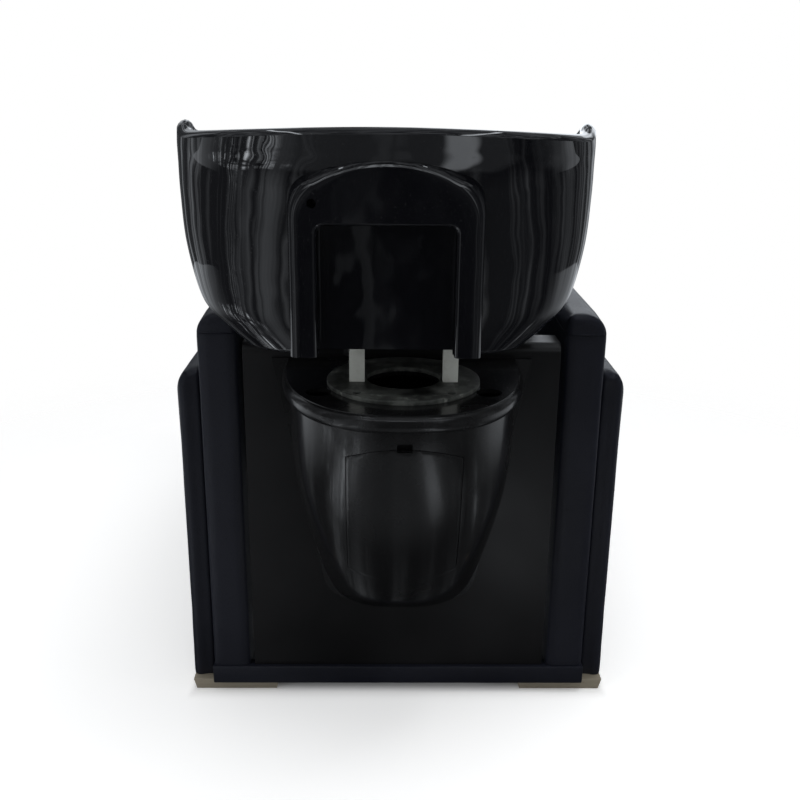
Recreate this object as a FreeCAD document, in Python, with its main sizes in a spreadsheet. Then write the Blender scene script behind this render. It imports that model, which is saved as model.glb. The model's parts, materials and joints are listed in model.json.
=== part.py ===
import FreeCAD, Part
import math
import os
import re
import Sketcher

from FreeCAD import Placement, Rotation, Vector

# Backwash unit: a salon wash chair with a tilting bowl on a rear pod.
# Millimetres, +Z up, origin on the floor under the middle of the whole unit.
# The hairdresser stands on the -Y side, the client's feet point along +Y.

doc = FreeCAD.newDocument("backwash_unit")
sizes = doc.addObject("Spreadsheet::Sheet", "Sizes")

DRIVING = {
    # whole unit
    "unit_width": 706,
    "unit_length": 1240,
    "bowl_overhang": 290,
    "seat_gap": 0.3,
    # feet and plinth
    "foot_length": 146,
    "foot_depth": 56,
    "foot_height": 18,
    "foot_inset": 4,
    "foot_setback": 12,
    "foot_taper": 5,
    "bolt_radius": 4,
    "bolt_head_radius": 7,
    "bolt_head_height": 5,
    "rail_height": 32,
    "rail_thick": 25,
    # arms and side panels
    "side_thick": 40,
    "side_top": 572,
    "side_inset": 24,
    "side_corner": 16,
    "arm_thick": 64,
    "arm_top": 628,
    "arm_corner": 9,
    "cap_height": 32,
    "cap_round": 24,
    "cap_draw": 5,
    "side_draw": 8,
    "core_thick": 22,
    "core_cover": 24,
    "pad_swell": 2.5,
    # back panel and frame
    "panel_gap": 6,
    "panel_recess": 8,
    "panel_thick": 4,
    "panel_top": 612,
    "panel_shelf": 60,
    "panel_round": 16,
    "tube_size": 30,
    "tube_wall": 2,
    "upright_share": 180 / 249,
    "upper_cross_height": 560,
    "lower_cross_height": 222,
    "pod_bolt_share": 121 / 249,
    "pod_bolt_cover": 1.5,
    # pod
    "pod_wall": 4,
    "deck_height": 590,
    "deck_thick": 6,
    "pod_reach": 276,
    "pod_share": 178 / 249,
    "pod_foot_share": 102 / 178,
    "pod_bottom": 187,
    "pod_corner": 48,
    "pod_squareness": 2.5,
    "lip_height": 26,
    "lip_step": 6,
    "lip_round": 11,
    "flange_width": 20,
    "flange_thick": 4,
    "flange_foot_width": 14,
    "flange_drop": 9.6,
    "waste_hole_radius": 51.5,
    "waste_setback": 124,
    "tap_hole_radius": 17.5,
    "tap_share": 116 / 178,
    "tap_setback": 173,
    # gasket plate and tilt posts
    "gasket_radius": 107,
    "gasket_thick": 6,
    "gasket_hole_radius": 6,
    "gasket_hole_spread": 63.5,
    "gasket_hole_setback": 194,
    "post_width": 21,
    "post_thick": 14,
    "post_spread": 64.5,
    "post_setback": 138,
    "tilt_height": 640,
    "pivot_radius": 4,
    "pivot_clear": 0.06,
    "lug_thick": 6,
    "lug_gap": 1.5,
    "lug_radius": 8,
    "saddle_thick": 4,
    "saddle_depth": 86,
    "saddle_shift": 12,
    "saddle_hole_radius": 33,
    "post_bolt_grip": 20,
    # access hatch
    "hatch_share": 77.5 / 178,
    "hatch_shoulder": 527,
    "hatch_crown": 544,
    "hatch_gap": 0.8,
    "hinge_height": 290,
    "hinge_reach": 130,
    "hinge_sweep": 70,
    "hinge_arm_spread": 45,
    "hinge_arm_thick": 6,
    "hinge_arm_width": 10,
    "hinge_arm_rise": 84,
    "hinge_pin_radius": 4,
    "hinge_knuckle_radius": 8,
    "notch_half_width": 10,
    "notch_height": 12,
    "notch_rise": 7.2,
    "catch_width": 24,
    "catch_drop": 74,
    "strike_thick": 2,
    "strike_gap": 1,
    "catch_lean": 3,
    "magnet_thick": 8,
    "bracket_thick": 4,
    # bowl
    "bowl_side_set": -25,
    "bowl_wall": 12,
    "bowl_squareness": 2.8,
    "bowl_edge_squareness": 4,
    "bowl_length": 530,
    "bowl_rim": 942,
    "bowl_rim_fall": 14,
    "bowl_front_fall": 30,
    "bowl_edge": 669,
    "bowl_edge_half_width": 192,
    "bowl_edge_rear_draw": 40,
    "bowl_edge_front_draw": 150,
    "bowl_waist": 691,
    "bowl_waist_half_width": 222,
    "bowl_waist_rear_draw": 41,
    "bowl_waist_front_draw": 112,
    "bowl_belly": 715,
    "bowl_belly_half_width": 249,
    "bowl_belly_rear_draw": 41,
    "bowl_belly_front_draw": 80,
    "bowl_side": 785,
    "bowl_side_half_width": 269,
    "bowl_side_rear_draw": 39,
    "bowl_side_front_draw": 36,
    "bowl_shoulder": 870,
    "bowl_shoulder_half_width": 277,
    "bowl_shoulder_rear_draw": 35,
    "bowl_shoulder_front_draw": 8,
    "bowl_brow": 912,
    "bowl_brow_half_width": 277,
    "bowl_brow_rear_draw": 30,
    "bowl_brow_front_draw": 4,
    "bowl_top": 975,
    "bowl_top_half_width": 275,
    "ear_rise": 12,
    "ear_length": 44,
    "ear_setback": 178,
    "ear_start": 0.78,
    "ear_blend": 0.14,
    "arch_half_width": 116,
    "arch_shoulder": 846,
    "arch_crown": 902,
    "arch_setback": 14,
    "arch_edge_round": 8,
    "niche_half_width": 84,
    "niche_top": 829,
    "niche_depth": 46,
    "niche_wall": 8,
    "niche_crown": 2,
    "anchor_hole_radius": 5.5,
    "anchor_hole_side": 88,
    "anchor_hole_height": 855,
    "basin_floor": 681,
    "basin_floor_half_width": 98,
    "basin_floor_rear_draw": 140,
    "basin_floor_front_draw": 270,
    "basin_low": 728,
    "basin_low_half_width": 186,
    "basin_low_rear_draw": 132,
    "basin_low_front_draw": 175,
    "basin_mid": 800,
    "basin_mid_half_width": 238,
    "basin_mid_rear_draw": 96,
    "basin_mid_front_draw": 66,
    "basin_high": 880,
    "basin_high_half_width": 258,
    "basin_high_rear_draw": 58,
    "basin_high_front_draw": 27,
    "basin_brow": 912,
    "basin_brow_half_width": 261,
    "basin_brow_rear_draw": 46,
    "basin_brow_front_draw": 20,
    "basin_top_draw": 13,
    "hollow_top": 862,
    "neck_radius": 105,
    "neck_depth": 50,
    "neck_pad": 12,
    "neck_pad_flange": 6,
    "neck_pad_drop": 6,
    "neck_pad_grip": 13,
    "neck_pad_inside": 56,
    "neck_pad_outside": 6,
    # waste fitting
    "drain_hole_radius": 22,
    "drain_flange_radius": 32,
    "drain_flange_thick": 3,
    "drain_tail_radius": 20.95,
    "drain_bore_radius": 18,
    "drain_tail_end": 653,
    "drain_seal_thick": 2,
    "drain_nut_radius": 28,
    "drain_nut_height": 9,
    "strainer_clear": 0.3,
    "strainer_depth": 12,
    "strainer_wall": 2,
    "strainer_rim_radius": 26,
    "strainer_hole_radius": 2.5,
    "strainer_hole_circle": 10,
    "strainer_hole_count": 8,
    # seat and backrest
    "seat_board_thick": 18,
    "seat_board_height": 300,
    "seat_cushion_thick": 130,
    "seat_depth": 400,
    "cushion_crown": 14,
    "cushion_corner": 28,
    "cushion_side_gap": 3,
    "seat_rail_height": 40,
    "seat_rail_thick": 25,
    "back_board_length": 470,
    "back_board_thick": 18,
    "back_cushion_thick": 90,
    "back_cushion_foot": 30,
    "back_cushion_length": 485,
    "back_recline": 20,
    "back_foot_setback": 512,
    "front_panel_thick": 22,
    "front_panel_corner": 6,
}
for row, (alias, amount) in enumerate(DRIVING.items(), start=1):
    sizes.set(f"A{row}", alias)
    sizes.set(f"B{row}", str(amount))
    sizes.setAlias(f"B{row}", alias)
doc.recompute()
ALIAS = re.compile(r"\b(" + "|".join(DRIVING) + r")\b")
UP = Vector(0, 0, 1)
ACROSS = Vector(1, 0, 0)
ALONG = Vector(0, 1, 0)

# Planes that many pieces share, as expressions on the sheet.
ARM_REAR = "(bowl_overhang - unit_length / 2)"
ARM_FRONT = "(unit_length / 2)"
PANEL_REAR = f"({ARM_REAR} + panel_recess)"
ARM_OUT = "(unit_width / 2 - side_thick)"
ARM_IN = f"({ARM_OUT} - arm_thick)"
RAIL_TOP = "(foot_height + rail_height)"
POST_FOOT = "(deck_height + gasket_thick)"
UPRIGHT_X = f"({ARM_IN} * upright_share)"
POD_BOLT_X = f"({ARM_IN} * pod_bolt_share)"

# The same planes as numbers, for the free-form pieces.
arm_rear = sizes.bowl_overhang - sizes.unit_length / 2
arm_front = sizes.unit_length / 2
panel_rear = arm_rear + sizes.panel_recess
arm_out = sizes.unit_width / 2 - sizes.side_thick
arm_in = arm_out - sizes.arm_thick
rail_top = sizes.foot_height + sizes.rail_height
waste_y = panel_rear - sizes.waste_setback
pod_half = arm_in * sizes.pod_share
pod_foot_half = pod_half * sizes.pod_foot_share
tap_x = pod_half * sizes.tap_share
hatch_half = pod_half * sizes.hatch_share
bowl_rear = -sizes.unit_length / 2
bowl_front = bowl_rear + sizes.bowl_length
nodes = []

# Cutting tools run this far past the faces they open.
past = 1.0
# The pod's plan is drawn at these parts of its drop from the deck.
POD_FALLS = (0, 0.3, 0.55, 0.75, 0.9, 0.975)
# Towards each end of a cushion: place within the end, share of the edge's draw, share of the swell.
CUSHION_ENDS = ((0, 1, 0.2), (0.35, 0.35, 0.5), (1, 0, 0.8))
CUSHION_END_SHARE = 0.3
CORNER_SHARE = 0.9


def bind(item, **places):
    """Tie properties of an object to expressions on the sheet."""
    for name, text in places.items():
        path = {"x": ".Placement.Base.x", "y": ".Placement.Base.y", "z": ".Placement.Base.z",
                "turn": ".Placement.Rotation.Angle"}.get(name, name)
        item.setExpression(path, ALIAS.sub(r"Sizes.\1", str(text)))
    return item


def node(item, label):
    """Name a finished sub-part; its label is its file's name."""
    item.Label = label
    nodes.append(item)
    return item


def box(name, x, y, z, length, width, height):
    solid = doc.addObject("Part::Box", name)
    return bind(solid, x=x, y=y, z=z, Length=length, Width=width, Height=height)


def rod(name, x, y, z, radius, length, axis=UP):
    solid = doc.addObject("Part::Cylinder", name)
    solid.Placement = Placement(Vector(), Rotation(UP, axis))
    return bind(solid, x=x, y=y, z=z, Radius=radius, Height=length)


def joined(name, parts):
    solid = doc.addObject("Part::MultiFuse", name)
    solid.Shapes = parts
    return solid


def group(name, parts):
    """Several equal solids that share one node."""
    solids = doc.addObject("Part::Compound", name)
    solids.Links = parts
    return solids


def less(name, base, tools):
    solid = doc.addObject("Part::Cut", name)
    solid.Base = base
    solid.Tool = tools[0] if len(tools) == 1 else joined(name + "_tools", tools)
    return solid


def shaped(label, shape):
    """A free-form sub-part, from a shape worked out of the sheet's sizes."""
    item = doc.addObject("Part::Feature", label)
    item.Shape = shape
    return node(item, label)


def profile_body(label, corners, length=None, plane="XZ_Plane", start="0 mm"):
    """A body from one closed outline of bound corners: padded, or turned about its own V axis."""
    body = doc.addObject("PartDesign::Body", label + "_body")
    sketch = body.newObject("Sketcher::SketchObject", label + "_outline")
    origin = [item for item in body.Origin.OriginFeatures if item.Role == plane][0]
    sketch.AttachmentSupport = [(origin, "")]
    sketch.MapMode = "FlatFace"
    bind(sketch, **{".AttachmentOffset.Base.z": start})
    count = len(corners)
    rough = [Vector(i + 1, (i * i) % 7 + 1, 0) for i in range(count)]
    for i in range(count):
        sketch.addGeometry(Part.LineSegment(rough[i], rough[(i + 1) % count]), False)
    for i, (across, upward) in enumerate(corners):
        sketch.addConstraint(Sketcher.Constraint("Coincident", (i - 1) % count, 2, i, 1))
        for kind, text, axis in (("DistanceX", across, -2), ("DistanceY", upward, -1)):
            if text == "0":
                sketch.addConstraint(Sketcher.Constraint("PointOnObject", i, 1, axis))
            else:
                spot = sketch.addConstraint(Sketcher.Constraint(kind, -1, 1, i, 1, 1.0))
                bind(sketch, **{f"Constraints[{spot}]": text})
    doc.recompute()
    if length is None:
        feature = body.newObject("PartDesign::Revolution", label + "_turned")
        feature.Profile = sketch
        feature.ReferenceAxis = (sketch, ["V_Axis"])
        feature.Angle = 360
    else:
        feature = body.newObject("PartDesign::Pad", label + "_pad")
        feature.Profile = sketch
        bind(feature, Length=length)
    body.Tip = feature
    doc.recompute()
    return body


# Outlines and lofts for the free-form pieces


def closed_curve(points, straight_back=False):
    """A smooth wire through points, or a smooth run closed by one straight edge."""
    curve = Part.BSplineCurve()
    curve.interpolate(points, PeriodicFlag=not straight_back)
    edges = [curve.toShape()]
    if straight_back:
        edges.append(Part.LineSegment(points[-1], points[0]).toShape())
    return Part.Wire(edges)


def soft_power(value, power):
    return math.copysign(abs(value) ** power, value)


def oval(level, half_width, rear, front, squareness, steps=24, middle=0.0):
    """A rounded plan outline at one height, with its own rear and front reach."""
    waist = (rear + front) / 2
    points = []
    for i in range(steps):
        angle = 2 * math.pi * i / steps
        across = soft_power(math.cos(angle), 2 / squareness)
        along = soft_power(math.sin(angle), 2 / squareness)
        points.append(Vector(middle + half_width * across, waist + (front - rear) / 2 * along, level))
    return closed_curve(points)


def pod_outline(level, inset, front):
    """The pod's D-shaped plan at one height, drawn in by inset and closed at the plane y = front."""
    fall = (sizes.deck_height - level) / (sizes.deck_height - sizes.pod_bottom)
    reach = sizes.pod_reach * math.sqrt(max(1 - fall ** 2, 0)) - inset
    half = pod_half + (pod_foot_half - pod_half) * fall ** 2 - inset
    left = sizes.pod_corner - (level - sizes.pod_bottom)
    if left > 0:
        half -= sizes.pod_corner - math.sqrt(max(sizes.pod_corner ** 2 - left ** 2, 0))
    return d_outline(level, half, reach, front)


def d_outline(level, half, reach, front, steps=16):
    power = 2 / sizes.pod_squareness
    points = []
    for i in range(steps + 1):
        angle = math.pi * i / steps
        along = abs(math.sin(angle)) ** power
        points.append(Vector(half * soft_power(math.cos(angle), power), panel_rear - reach * along, level))
    if front > panel_rear:
        points = [Vector(half, front, level)] + points + [Vector(-half, front, level)]
        run = Part.BSplineCurve()
        run.interpolate(points[1:-1])
        edges = [Part.LineSegment(points[0], points[1]).toShape(), run.toShape(),
                 Part.LineSegment(points[-2], points[-1]).toShape(),
                 Part.LineSegment(points[-1], points[0]).toShape()]
        return Part.Wire(edges)
    return closed_curve(points, straight_back=True)


def slab(outline, direction):
    return Part.Face(outline).extrude(direction)


def polygon(points):
    return Part.makePolygon(points + points[:1])


def arched(half_width, foot, shoulder, crown, y):
    """An upright outline with square feet and an arched top, in the plane y = y."""
    low_left = Vector(-half_width, y, foot)
    low_right = Vector(half_width, y, foot)
    high_right = Vector(half_width, y, shoulder)
    high_left = Vector(-half_width, y, shoulder)
    top = Part.Arc(high_right, Vector(0, y, crown), high_left).toShape()
    sides = [Part.LineSegment(a, b).toShape()
             for a, b in ((high_left, low_left), (low_left, low_right), (low_right, high_right))]
    return Part.Wire([top] + sides)


def pad_outline(level, half_x, half_y, corner, swell):
    """One cross-section of an upholstered piece: bowed sides and rounded corners, about the Z axis."""
    corner = min(corner, CORNER_SHARE * half_x, CORNER_SHARE * half_y)
    bend = corner * (1 - math.sqrt(0.5))
    edges = []
    for turn in range(4):
        near, far = (half_x, half_y) if turn % 2 == 0 else (half_y, half_x)
        start = Vector(near, corner - far, level)
        stop = Vector(near, far - corner, level)
        corner_mid = Vector(near - bend, far - bend, level)
        corner_end = Vector(near - corner, far, level)
        spin = Placement(Vector(), Rotation(UP, 90 * turn))
        side = [spin.multVec(p) for p in (start, Vector(near + swell, 0, level), stop)]
        bent = [spin.multVec(p) for p in (stop, corner_mid, corner_end)]
        edges += [Part.Arc(*side).toShape(), Part.Arc(*bent).toShape()]
    return Part.Wire(edges)


def cushion(low, high, axis, corner, swell, edge_draw):
    """A stuffed block between two corners: crowned faces, sides drawn in towards both ends of axis."""
    centre = (low + high) * 0.5
    span = high - low
    lengths = {"x": (span.z, span.y, span.x), "y": (span.x, span.z, span.y), "z": (span.x, span.y, span.z)}
    turn = {"x": Rotation(ALONG, 90), "y": Rotation(ACROSS, -90), "z": Rotation()}[axis]
    wide, deep, tall = lengths[axis]
    ends = min(corner, tall * CUSHION_END_SHARE)
    low_end = [(ends * place - tall / 2, edge_draw * draw, swell * bow) for place, draw, bow in CUSHION_ENDS]
    high_end = [(-z, draw, bow) for z, draw, bow in reversed(low_end)]
    stations = low_end + [(0, 0, swell)] + high_end
    wires = [pad_outline(z, wide / 2 - draw - swell, deep / 2 - draw - swell, corner, bow)
             for z, draw, bow in stations]
    solid = Part.makeLoft(wires, True, True)
    solid.Placement = Placement(centre, turn)
    return solid


# Feet, foot bolts and plinth rails
foot_bolt_spread = "(foot_length / 4)"
foot_bolts = []
SIDES = (("left", -1), ("right", 1))
ENDS = (("rear", -1), ("front", 1))
for end, way in ENDS:
    for side, hand in SIDES:
        corners = [("foot_taper", "0"), ("foot_length - foot_taper", "0"),
                   ("foot_length", "foot_height"), ("0", "foot_height")]
        foot = profile_body(f"{end}_{side}_foot", corners, "foot_depth", start="-foot_depth")
        inner = "(unit_width / 2 - foot_inset - foot_length)"
        foot_x = inner if hand > 0 else "(foot_inset - unit_width / 2)"
        foot_y = f"({ARM_REAR} + foot_setback)" if way < 0 else f"({ARM_FRONT} - foot_setback - foot_depth)"
        bind(foot, x=foot_x, y=foot_y, z="0 mm")
        holes = []
        for number in (1, 3):
            bolt_x = f"{foot_x} + {number} * {foot_bolt_spread}"
            bolt_y = f"{foot_y} + foot_depth / 2"
            tag = f"{end}_{side}_{number}"
            holes.append(rod(f"foot_hole_{tag}", bolt_x, bolt_y, "0 mm", "bolt_radius", "foot_height"))
            holes.append(rod(f"foot_sink_{tag}", bolt_x, bolt_y, "0 mm", "bolt_head_radius",
                             "2 * bolt_head_height"))
            head = rod(f"foot_head_{tag}", bolt_x, bolt_y, "bolt_head_height", "bolt_head_radius",
                       "bolt_head_height")
            shank = rod(f"foot_shank_{tag}", bolt_x, bolt_y, "bolt_head_height", "bolt_radius",
                        "foot_height - bolt_head_height")
            foot_bolts.append(joined(f"foot_bolt_{tag}", [head, shank]))
        node(less(f"{end}_{side}_foot_drilled", foot, holes), f"{end}_{side}_foot")
node(group("foot_bolt_group", foot_bolts), "foot_bolts")

rail_width = f"(2 * {ARM_OUT})"
node(box("rail_rear", f"-{ARM_OUT}", ARM_REAR, "foot_height", rail_width, "rail_thick", "rail_height"),
     "rear_plinth_rail")
node(box("rail_front", f"-{ARM_OUT}", f"{ARM_FRONT} - rail_thick", "foot_height", rail_width, "rail_thick",
         "rail_height"), "front_plinth_rail")
rail_run = f"{ARM_FRONT} - {ARM_REAR} - 2 * rail_thick"
for side, hand in SIDES:
    rail_x = f"{ARM_OUT} - arm_thick" if hand > 0 else f"-{ARM_OUT}"
    node(box(f"rail_{side}", rail_x, f"{ARM_REAR} + rail_thick", "foot_height", "arm_thick", rail_run,
             "rail_height"), f"{side}_plinth_rail")

# Arms: a board core in an upholstered cover, a sewn cap on top, and an outer side panel


def on_side(hand, inner, outer, rear, front, low, high):
    """Lowest and highest corner of a block that stands on one side of the unit."""
    near, far = sorted((hand * inner, hand * outer))
    return Vector(near, rear, low), Vector(far, front, high)


clear = sizes.seat_gap
cap_top = sizes.arm_top + sizes.cap_height
below_cap = Part.makeBox(sizes.unit_width, sizes.unit_length, sizes.arm_top + clear,
                         Vector(-sizes.unit_width / 2, -sizes.unit_length / 2, 0))
for side, hand in SIDES:
    core_x = f"{ARM_IN if hand > 0 else '-' + ARM_OUT} + (arm_thick - core_thick) / 2"
    core = node(box(f"{side}_core", core_x, f"{ARM_REAR} + core_cover", RAIL_TOP, "core_thick",
                    f"{ARM_FRONT} - {ARM_REAR} - 2 * core_cover", f"arm_top - core_cover - {RAIL_TOP}"),
                f"{side}_arm_core")
    doc.recompute()
    cover = cushion(*on_side(hand, arm_in, arm_out - clear, arm_rear, arm_front, rail_top, sizes.arm_top),
                    "z", sizes.arm_corner, sizes.pad_swell, sizes.pad_swell)
    shaped(f"{side}_arm_cover", cover.cut(core.Shape))
    cap = cushion(*on_side(hand, arm_in, arm_out, arm_rear, arm_front,
                           sizes.arm_top - sizes.cap_height, cap_top),
                  "y", sizes.cap_round, sizes.pad_swell, sizes.cap_draw)
    shaped(f"{side}_arm_cap", cap.cut(below_cap))
    shaped(f"{side}_side_panel",
           cushion(*on_side(hand, arm_out, sizes.unit_width / 2, arm_rear + sizes.side_inset,
                            arm_front - sizes.side_inset, sizes.foot_height, sizes.side_top),
                   "y", sizes.side_corner, sizes.pad_swell, sizes.side_draw))

# Back panel: a moulded sheet with a rounded top that turns forward into a shelf
panel_half = f"({ARM_IN} - panel_gap)"
sheet_corners = [("0", RAIL_TOP), ("panel_thick", RAIL_TOP), ("panel_thick", "panel_top - panel_thick"),
                 ("panel_shelf", "panel_top - panel_thick"), ("panel_shelf", "panel_top"), ("0", "panel_top")]
panel = profile_body("panel", sheet_corners, f"2 * {panel_half}", plane="YZ_Plane", start=f"-{panel_half}")
bind(panel, x="0 mm", y=PANEL_REAR, z="0 mm")


def bend(label, height, depth, radius):
    """Round the panel's long edge at one height and depth."""
    flat = panel.Tip
    found = [f"Edge{i + 1}" for i, edge in enumerate(flat.Shape.Edges)
             if edge.BoundBox.XLength > sizes.panel_shelf and abs(edge.CenterOfMass.z - height) < 0.1
             and abs(edge.CenterOfMass.y - depth) < 0.1]
    bent = panel.newObject("PartDesign::Fillet", label)
    bent.Base = (flat, found)
    bind(bent, Radius=radius)
    panel.Tip = bent
    doc.recompute()


bend("panel_inner_bend", sizes.panel_top - sizes.panel_thick, sizes.panel_thick, "panel_round - panel_thick")
bend("panel_outer_bend", sizes.panel_top, 0, "panel_round")

# Frame behind the panel: two uprights and two cross tubes, bolted through to the pod's flange
TUBE_REAR = f"({PANEL_REAR} + panel_thick)"
UPRIGHT_TOP = "(panel_top - panel_round)"


def tube(name, x, y, z, length, width, height, along):
    """A square tube with open ends."""
    outside = box(name + "_outside", x, y, z, length, width, height)
    thin = {"x": (x, f"{y} + tube_wall", f"{z} + tube_wall", length, f"{width} - 2 * tube_wall",
                  f"{height} - 2 * tube_wall"),
            "z": (f"{x} + tube_wall", f"{y} + tube_wall", z, f"{length} - 2 * tube_wall",
                  f"{width} - 2 * tube_wall", height)}[along]
    return less(name, outside, [box(name + "_inside", *thin)])


bolt_places = {"upper": (UPRIGHT_X, "upper_cross_height"), "lower": (POD_BOLT_X, "lower_cross_height")}
pod_bolts = []
bolt_tools = {}
for row, (spread, height) in bolt_places.items():
    for side, hand in SIDES:
        bolt_x = f"{hand} * {spread}"
        bolt_z = f"{height} + tube_size / 2"
        start = f"{PANEL_REAR} - flange_thick + pod_bolt_cover"
        run = "panel_thick + tube_size + flange_thick - pod_bolt_cover"
        shank = rod(f"pod_bolt_shank_{row}_{side}", bolt_x, start, bolt_z, "bolt_radius", run, ALONG)
        head = rod(f"pod_bolt_head_{row}_{side}", bolt_x, f"{TUBE_REAR} + tube_size", bolt_z,
                   "bolt_head_radius", "bolt_head_height", ALONG)
        bolt_tools[row, side] = shank
        pod_bolts.append(joined(f"pod_bolt_{row}_{side}", [shank, head]))
node(group("pod_bolt_group", pod_bolts), "pod_bolts")
for side, hand in SIDES:
    upright = tube(f"{side}_upright_tube", f"{hand} * {UPRIGHT_X} - tube_size / 2", TUBE_REAR, RAIL_TOP,
                   "tube_size", "tube_size", f"{UPRIGHT_TOP} - {RAIL_TOP}", "z")
    node(less(f"{side}_upright_drilled", upright, [bolt_tools["upper", side]]), f"{side}_rear_upright")
for row in bolt_places:
    height = bolt_places[row][1]
    cross = tube(f"{row}_cross", f"tube_size / 2 - {UPRIGHT_X}", TUBE_REAR, height,
                 f"2 * {UPRIGHT_X} - tube_size", "tube_size", "tube_size", "x")
    if row == "lower":
        cross = less("lower_cross_drilled", cross, [bolt_tools["lower", side] for side, hand in SIDES])
    node(cross, f"{row}_cross_tube")
node(less("panel_drilled", panel, [bolt_tools[key] for key in bolt_tools]), "back_panel")
doc.recompute()

# Pod: a hollow shell under a rounded deck, open towards the panel, with a flange against it


def pod_body(inset, front, foot):
    """The pod's tapering body below the deck, drawn in by inset all round."""
    drop = sizes.deck_height - sizes.pod_bottom
    levels = [sizes.deck_height - (drop - foot) * fall for fall in POD_FALLS]
    return Part.makeLoft([pod_outline(level, inset, front) for level in levels], True, False)


def upright_cylinder(radius, x, y, low, high):
    return Part.makeCylinder(radius, high - low, Vector(x, y, low), UP)


deck_low = sizes.deck_height - sizes.lip_height
pod_inside = sizes.lip_step + sizes.pod_wall
inside_front = panel_rear + sizes.panel_thick
body_outside = pod_body(sizes.lip_step, panel_rear, 0)
body_inside = pod_body(pod_inside, inside_front, sizes.pod_wall)
deck_outline = d_outline(deck_low, pod_half, sizes.pod_reach, panel_rear)
deck = slab(deck_outline, UP * sizes.lip_height)
rim_edges = [edge for edge in deck.Edges if edge.BoundBox.YLength > sizes.pod_reach / 2
             and edge.BoundBox.ZLength < past]
deck = deck.makeFillet(sizes.lip_round, rim_edges)
flange_top = pod_half + sizes.flange_width
flange_foot = pod_foot_half + sizes.flange_foot_width
flange_low = sizes.pod_bottom - sizes.flange_drop
flange_start = panel_rear - sizes.flange_thick
corners = [Vector(flange_top, flange_start, sizes.deck_height),
           Vector(-flange_top, flange_start, sizes.deck_height),
           Vector(-flange_foot, flange_start, flange_low), Vector(flange_foot, flange_start, flange_low)]
flange = slab(polygon(corners), ALONG * sizes.flange_thick)
low_edges = [edge for edge in flange.Edges if edge.BoundBox.YLength > sizes.flange_thick / 2
             and edge.BoundBox.ZMax < flange_low + past]
flange = flange.makeFillet(sizes.pod_corner, low_edges)
pod_outer = deck.fuse(body_outside).fuse(flange)
below_deck = Part.makeBox(sizes.unit_width, sizes.unit_length, sizes.deck_height - sizes.deck_thick,
                          Vector(-sizes.unit_width / 2, -sizes.unit_length, 0))
pod_cavity = body_inside.common(below_deck)
pod = pod_outer.cut(pod_cavity)
deck_holes = [upright_cylinder(sizes.waste_hole_radius, 0, waste_y, deck_low, sizes.deck_height + past)]
tap_y = panel_rear - sizes.tap_setback
post_y = panel_rear - sizes.post_setback
for side, hand in SIDES:
    deck_holes.append(upright_cylinder(sizes.tap_hole_radius, hand * tap_x, tap_y, deck_low,
                                       sizes.deck_height + past))
    deck_holes.append(upright_cylinder(sizes.bolt_radius, hand * sizes.post_spread, post_y, deck_low,
                                       sizes.deck_height + past))
pod = pod.cut(deck_holes)

# Access hatch: a piece of the pod's wall that swings on two goose-neck arms about a hidden pin
hinge_y = panel_rear - sizes.hinge_reach
hinge = Vector(0, hinge_y, sizes.hinge_height)
hatch_back = hinge_y - sizes.pod_reach
pin_half = sizes.hinge_arm_spread + 2 * sizes.hinge_arm_thick


def along_x(radius, half_length, centre=hinge):
    return Part.makeCylinder(radius, 2 * half_length, centre - ACROSS * half_length, ACROSS)


def hatch_prism(gap, sweep):
    """The hatch's outline as a block through the pod's wall, kept outside the hinge's sweep."""
    outline = arched(hatch_half - gap, sizes.hinge_height, sizes.hatch_shoulder - gap,
                     sizes.hatch_crown - gap, hatch_back)
    block = slab(outline, ALONG * (hinge_y - hatch_back))
    return block.cut(along_x(sweep, sizes.unit_width / 2))


pod_wall = body_outside.cut(body_inside)
hatch = pod_wall.common(hatch_prism(sizes.hatch_gap, sizes.hinge_sweep + sizes.hatch_gap))
pod = pod.cut(hatch_prism(0, sizes.hinge_sweep))
notch_top = sizes.hatch_crown + sizes.notch_rise
notch = Part.makeBox(2 * sizes.notch_half_width, sizes.pod_reach, sizes.notch_height,
                     Vector(-sizes.notch_half_width, hatch_back, notch_top - sizes.notch_height))
pod = pod.cut(notch)
hatch = hatch.cut(notch)
leg = sizes.hinge_arm_width / 2
rise = sizes.hinge_arm_rise
for hand in (-1, 1):
    arm_x = hand * sizes.hinge_arm_spread - sizes.hinge_arm_thick / 2
    upright = Part.makeBox(sizes.hinge_arm_thick, 2 * leg, rise + leg,
                           Vector(arm_x, hinge_y - leg, sizes.hinge_height))
    reach = Part.makeBox(sizes.hinge_arm_thick, sizes.pod_reach, 2 * leg,
                         Vector(arm_x, hinge_y - sizes.pod_reach, sizes.hinge_height + rise - leg))
    knuckle = Part.makeCylinder(sizes.hinge_knuckle_radius, sizes.hinge_arm_thick,
                                Vector(arm_x, hinge_y, sizes.hinge_height), ACROSS)
    arm = upright.fuse(reach).fuse(knuckle).common(body_outside)
    hatch = hatch.fuse(arm)
    lug_x = hand * (sizes.hinge_arm_spread + sizes.hinge_arm_thick + clear) - sizes.hinge_arm_thick / 2
    lug_low = sizes.hinge_height - sizes.hinge_knuckle_radius
    lug = Part.makeBox(sizes.hinge_arm_thick, sizes.pod_reach, 2 * sizes.hinge_knuckle_radius,
                       Vector(lug_x, hinge_y - sizes.pod_reach, lug_low))
    lug = lug.fuse(Part.makeCylinder(sizes.hinge_knuckle_radius, sizes.hinge_arm_thick,
                                     Vector(lug_x, hinge_y, sizes.hinge_height), ACROSS))
    pod = pod.fuse(lug.common(body_outside))
hatch = hatch.cut(along_x(sizes.hinge_pin_radius + sizes.pivot_clear, pin_half))
pod = pod.cut(along_x(sizes.hinge_pin_radius, pin_half))
shaped("access_hatch", hatch.removeSplitter())
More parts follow.
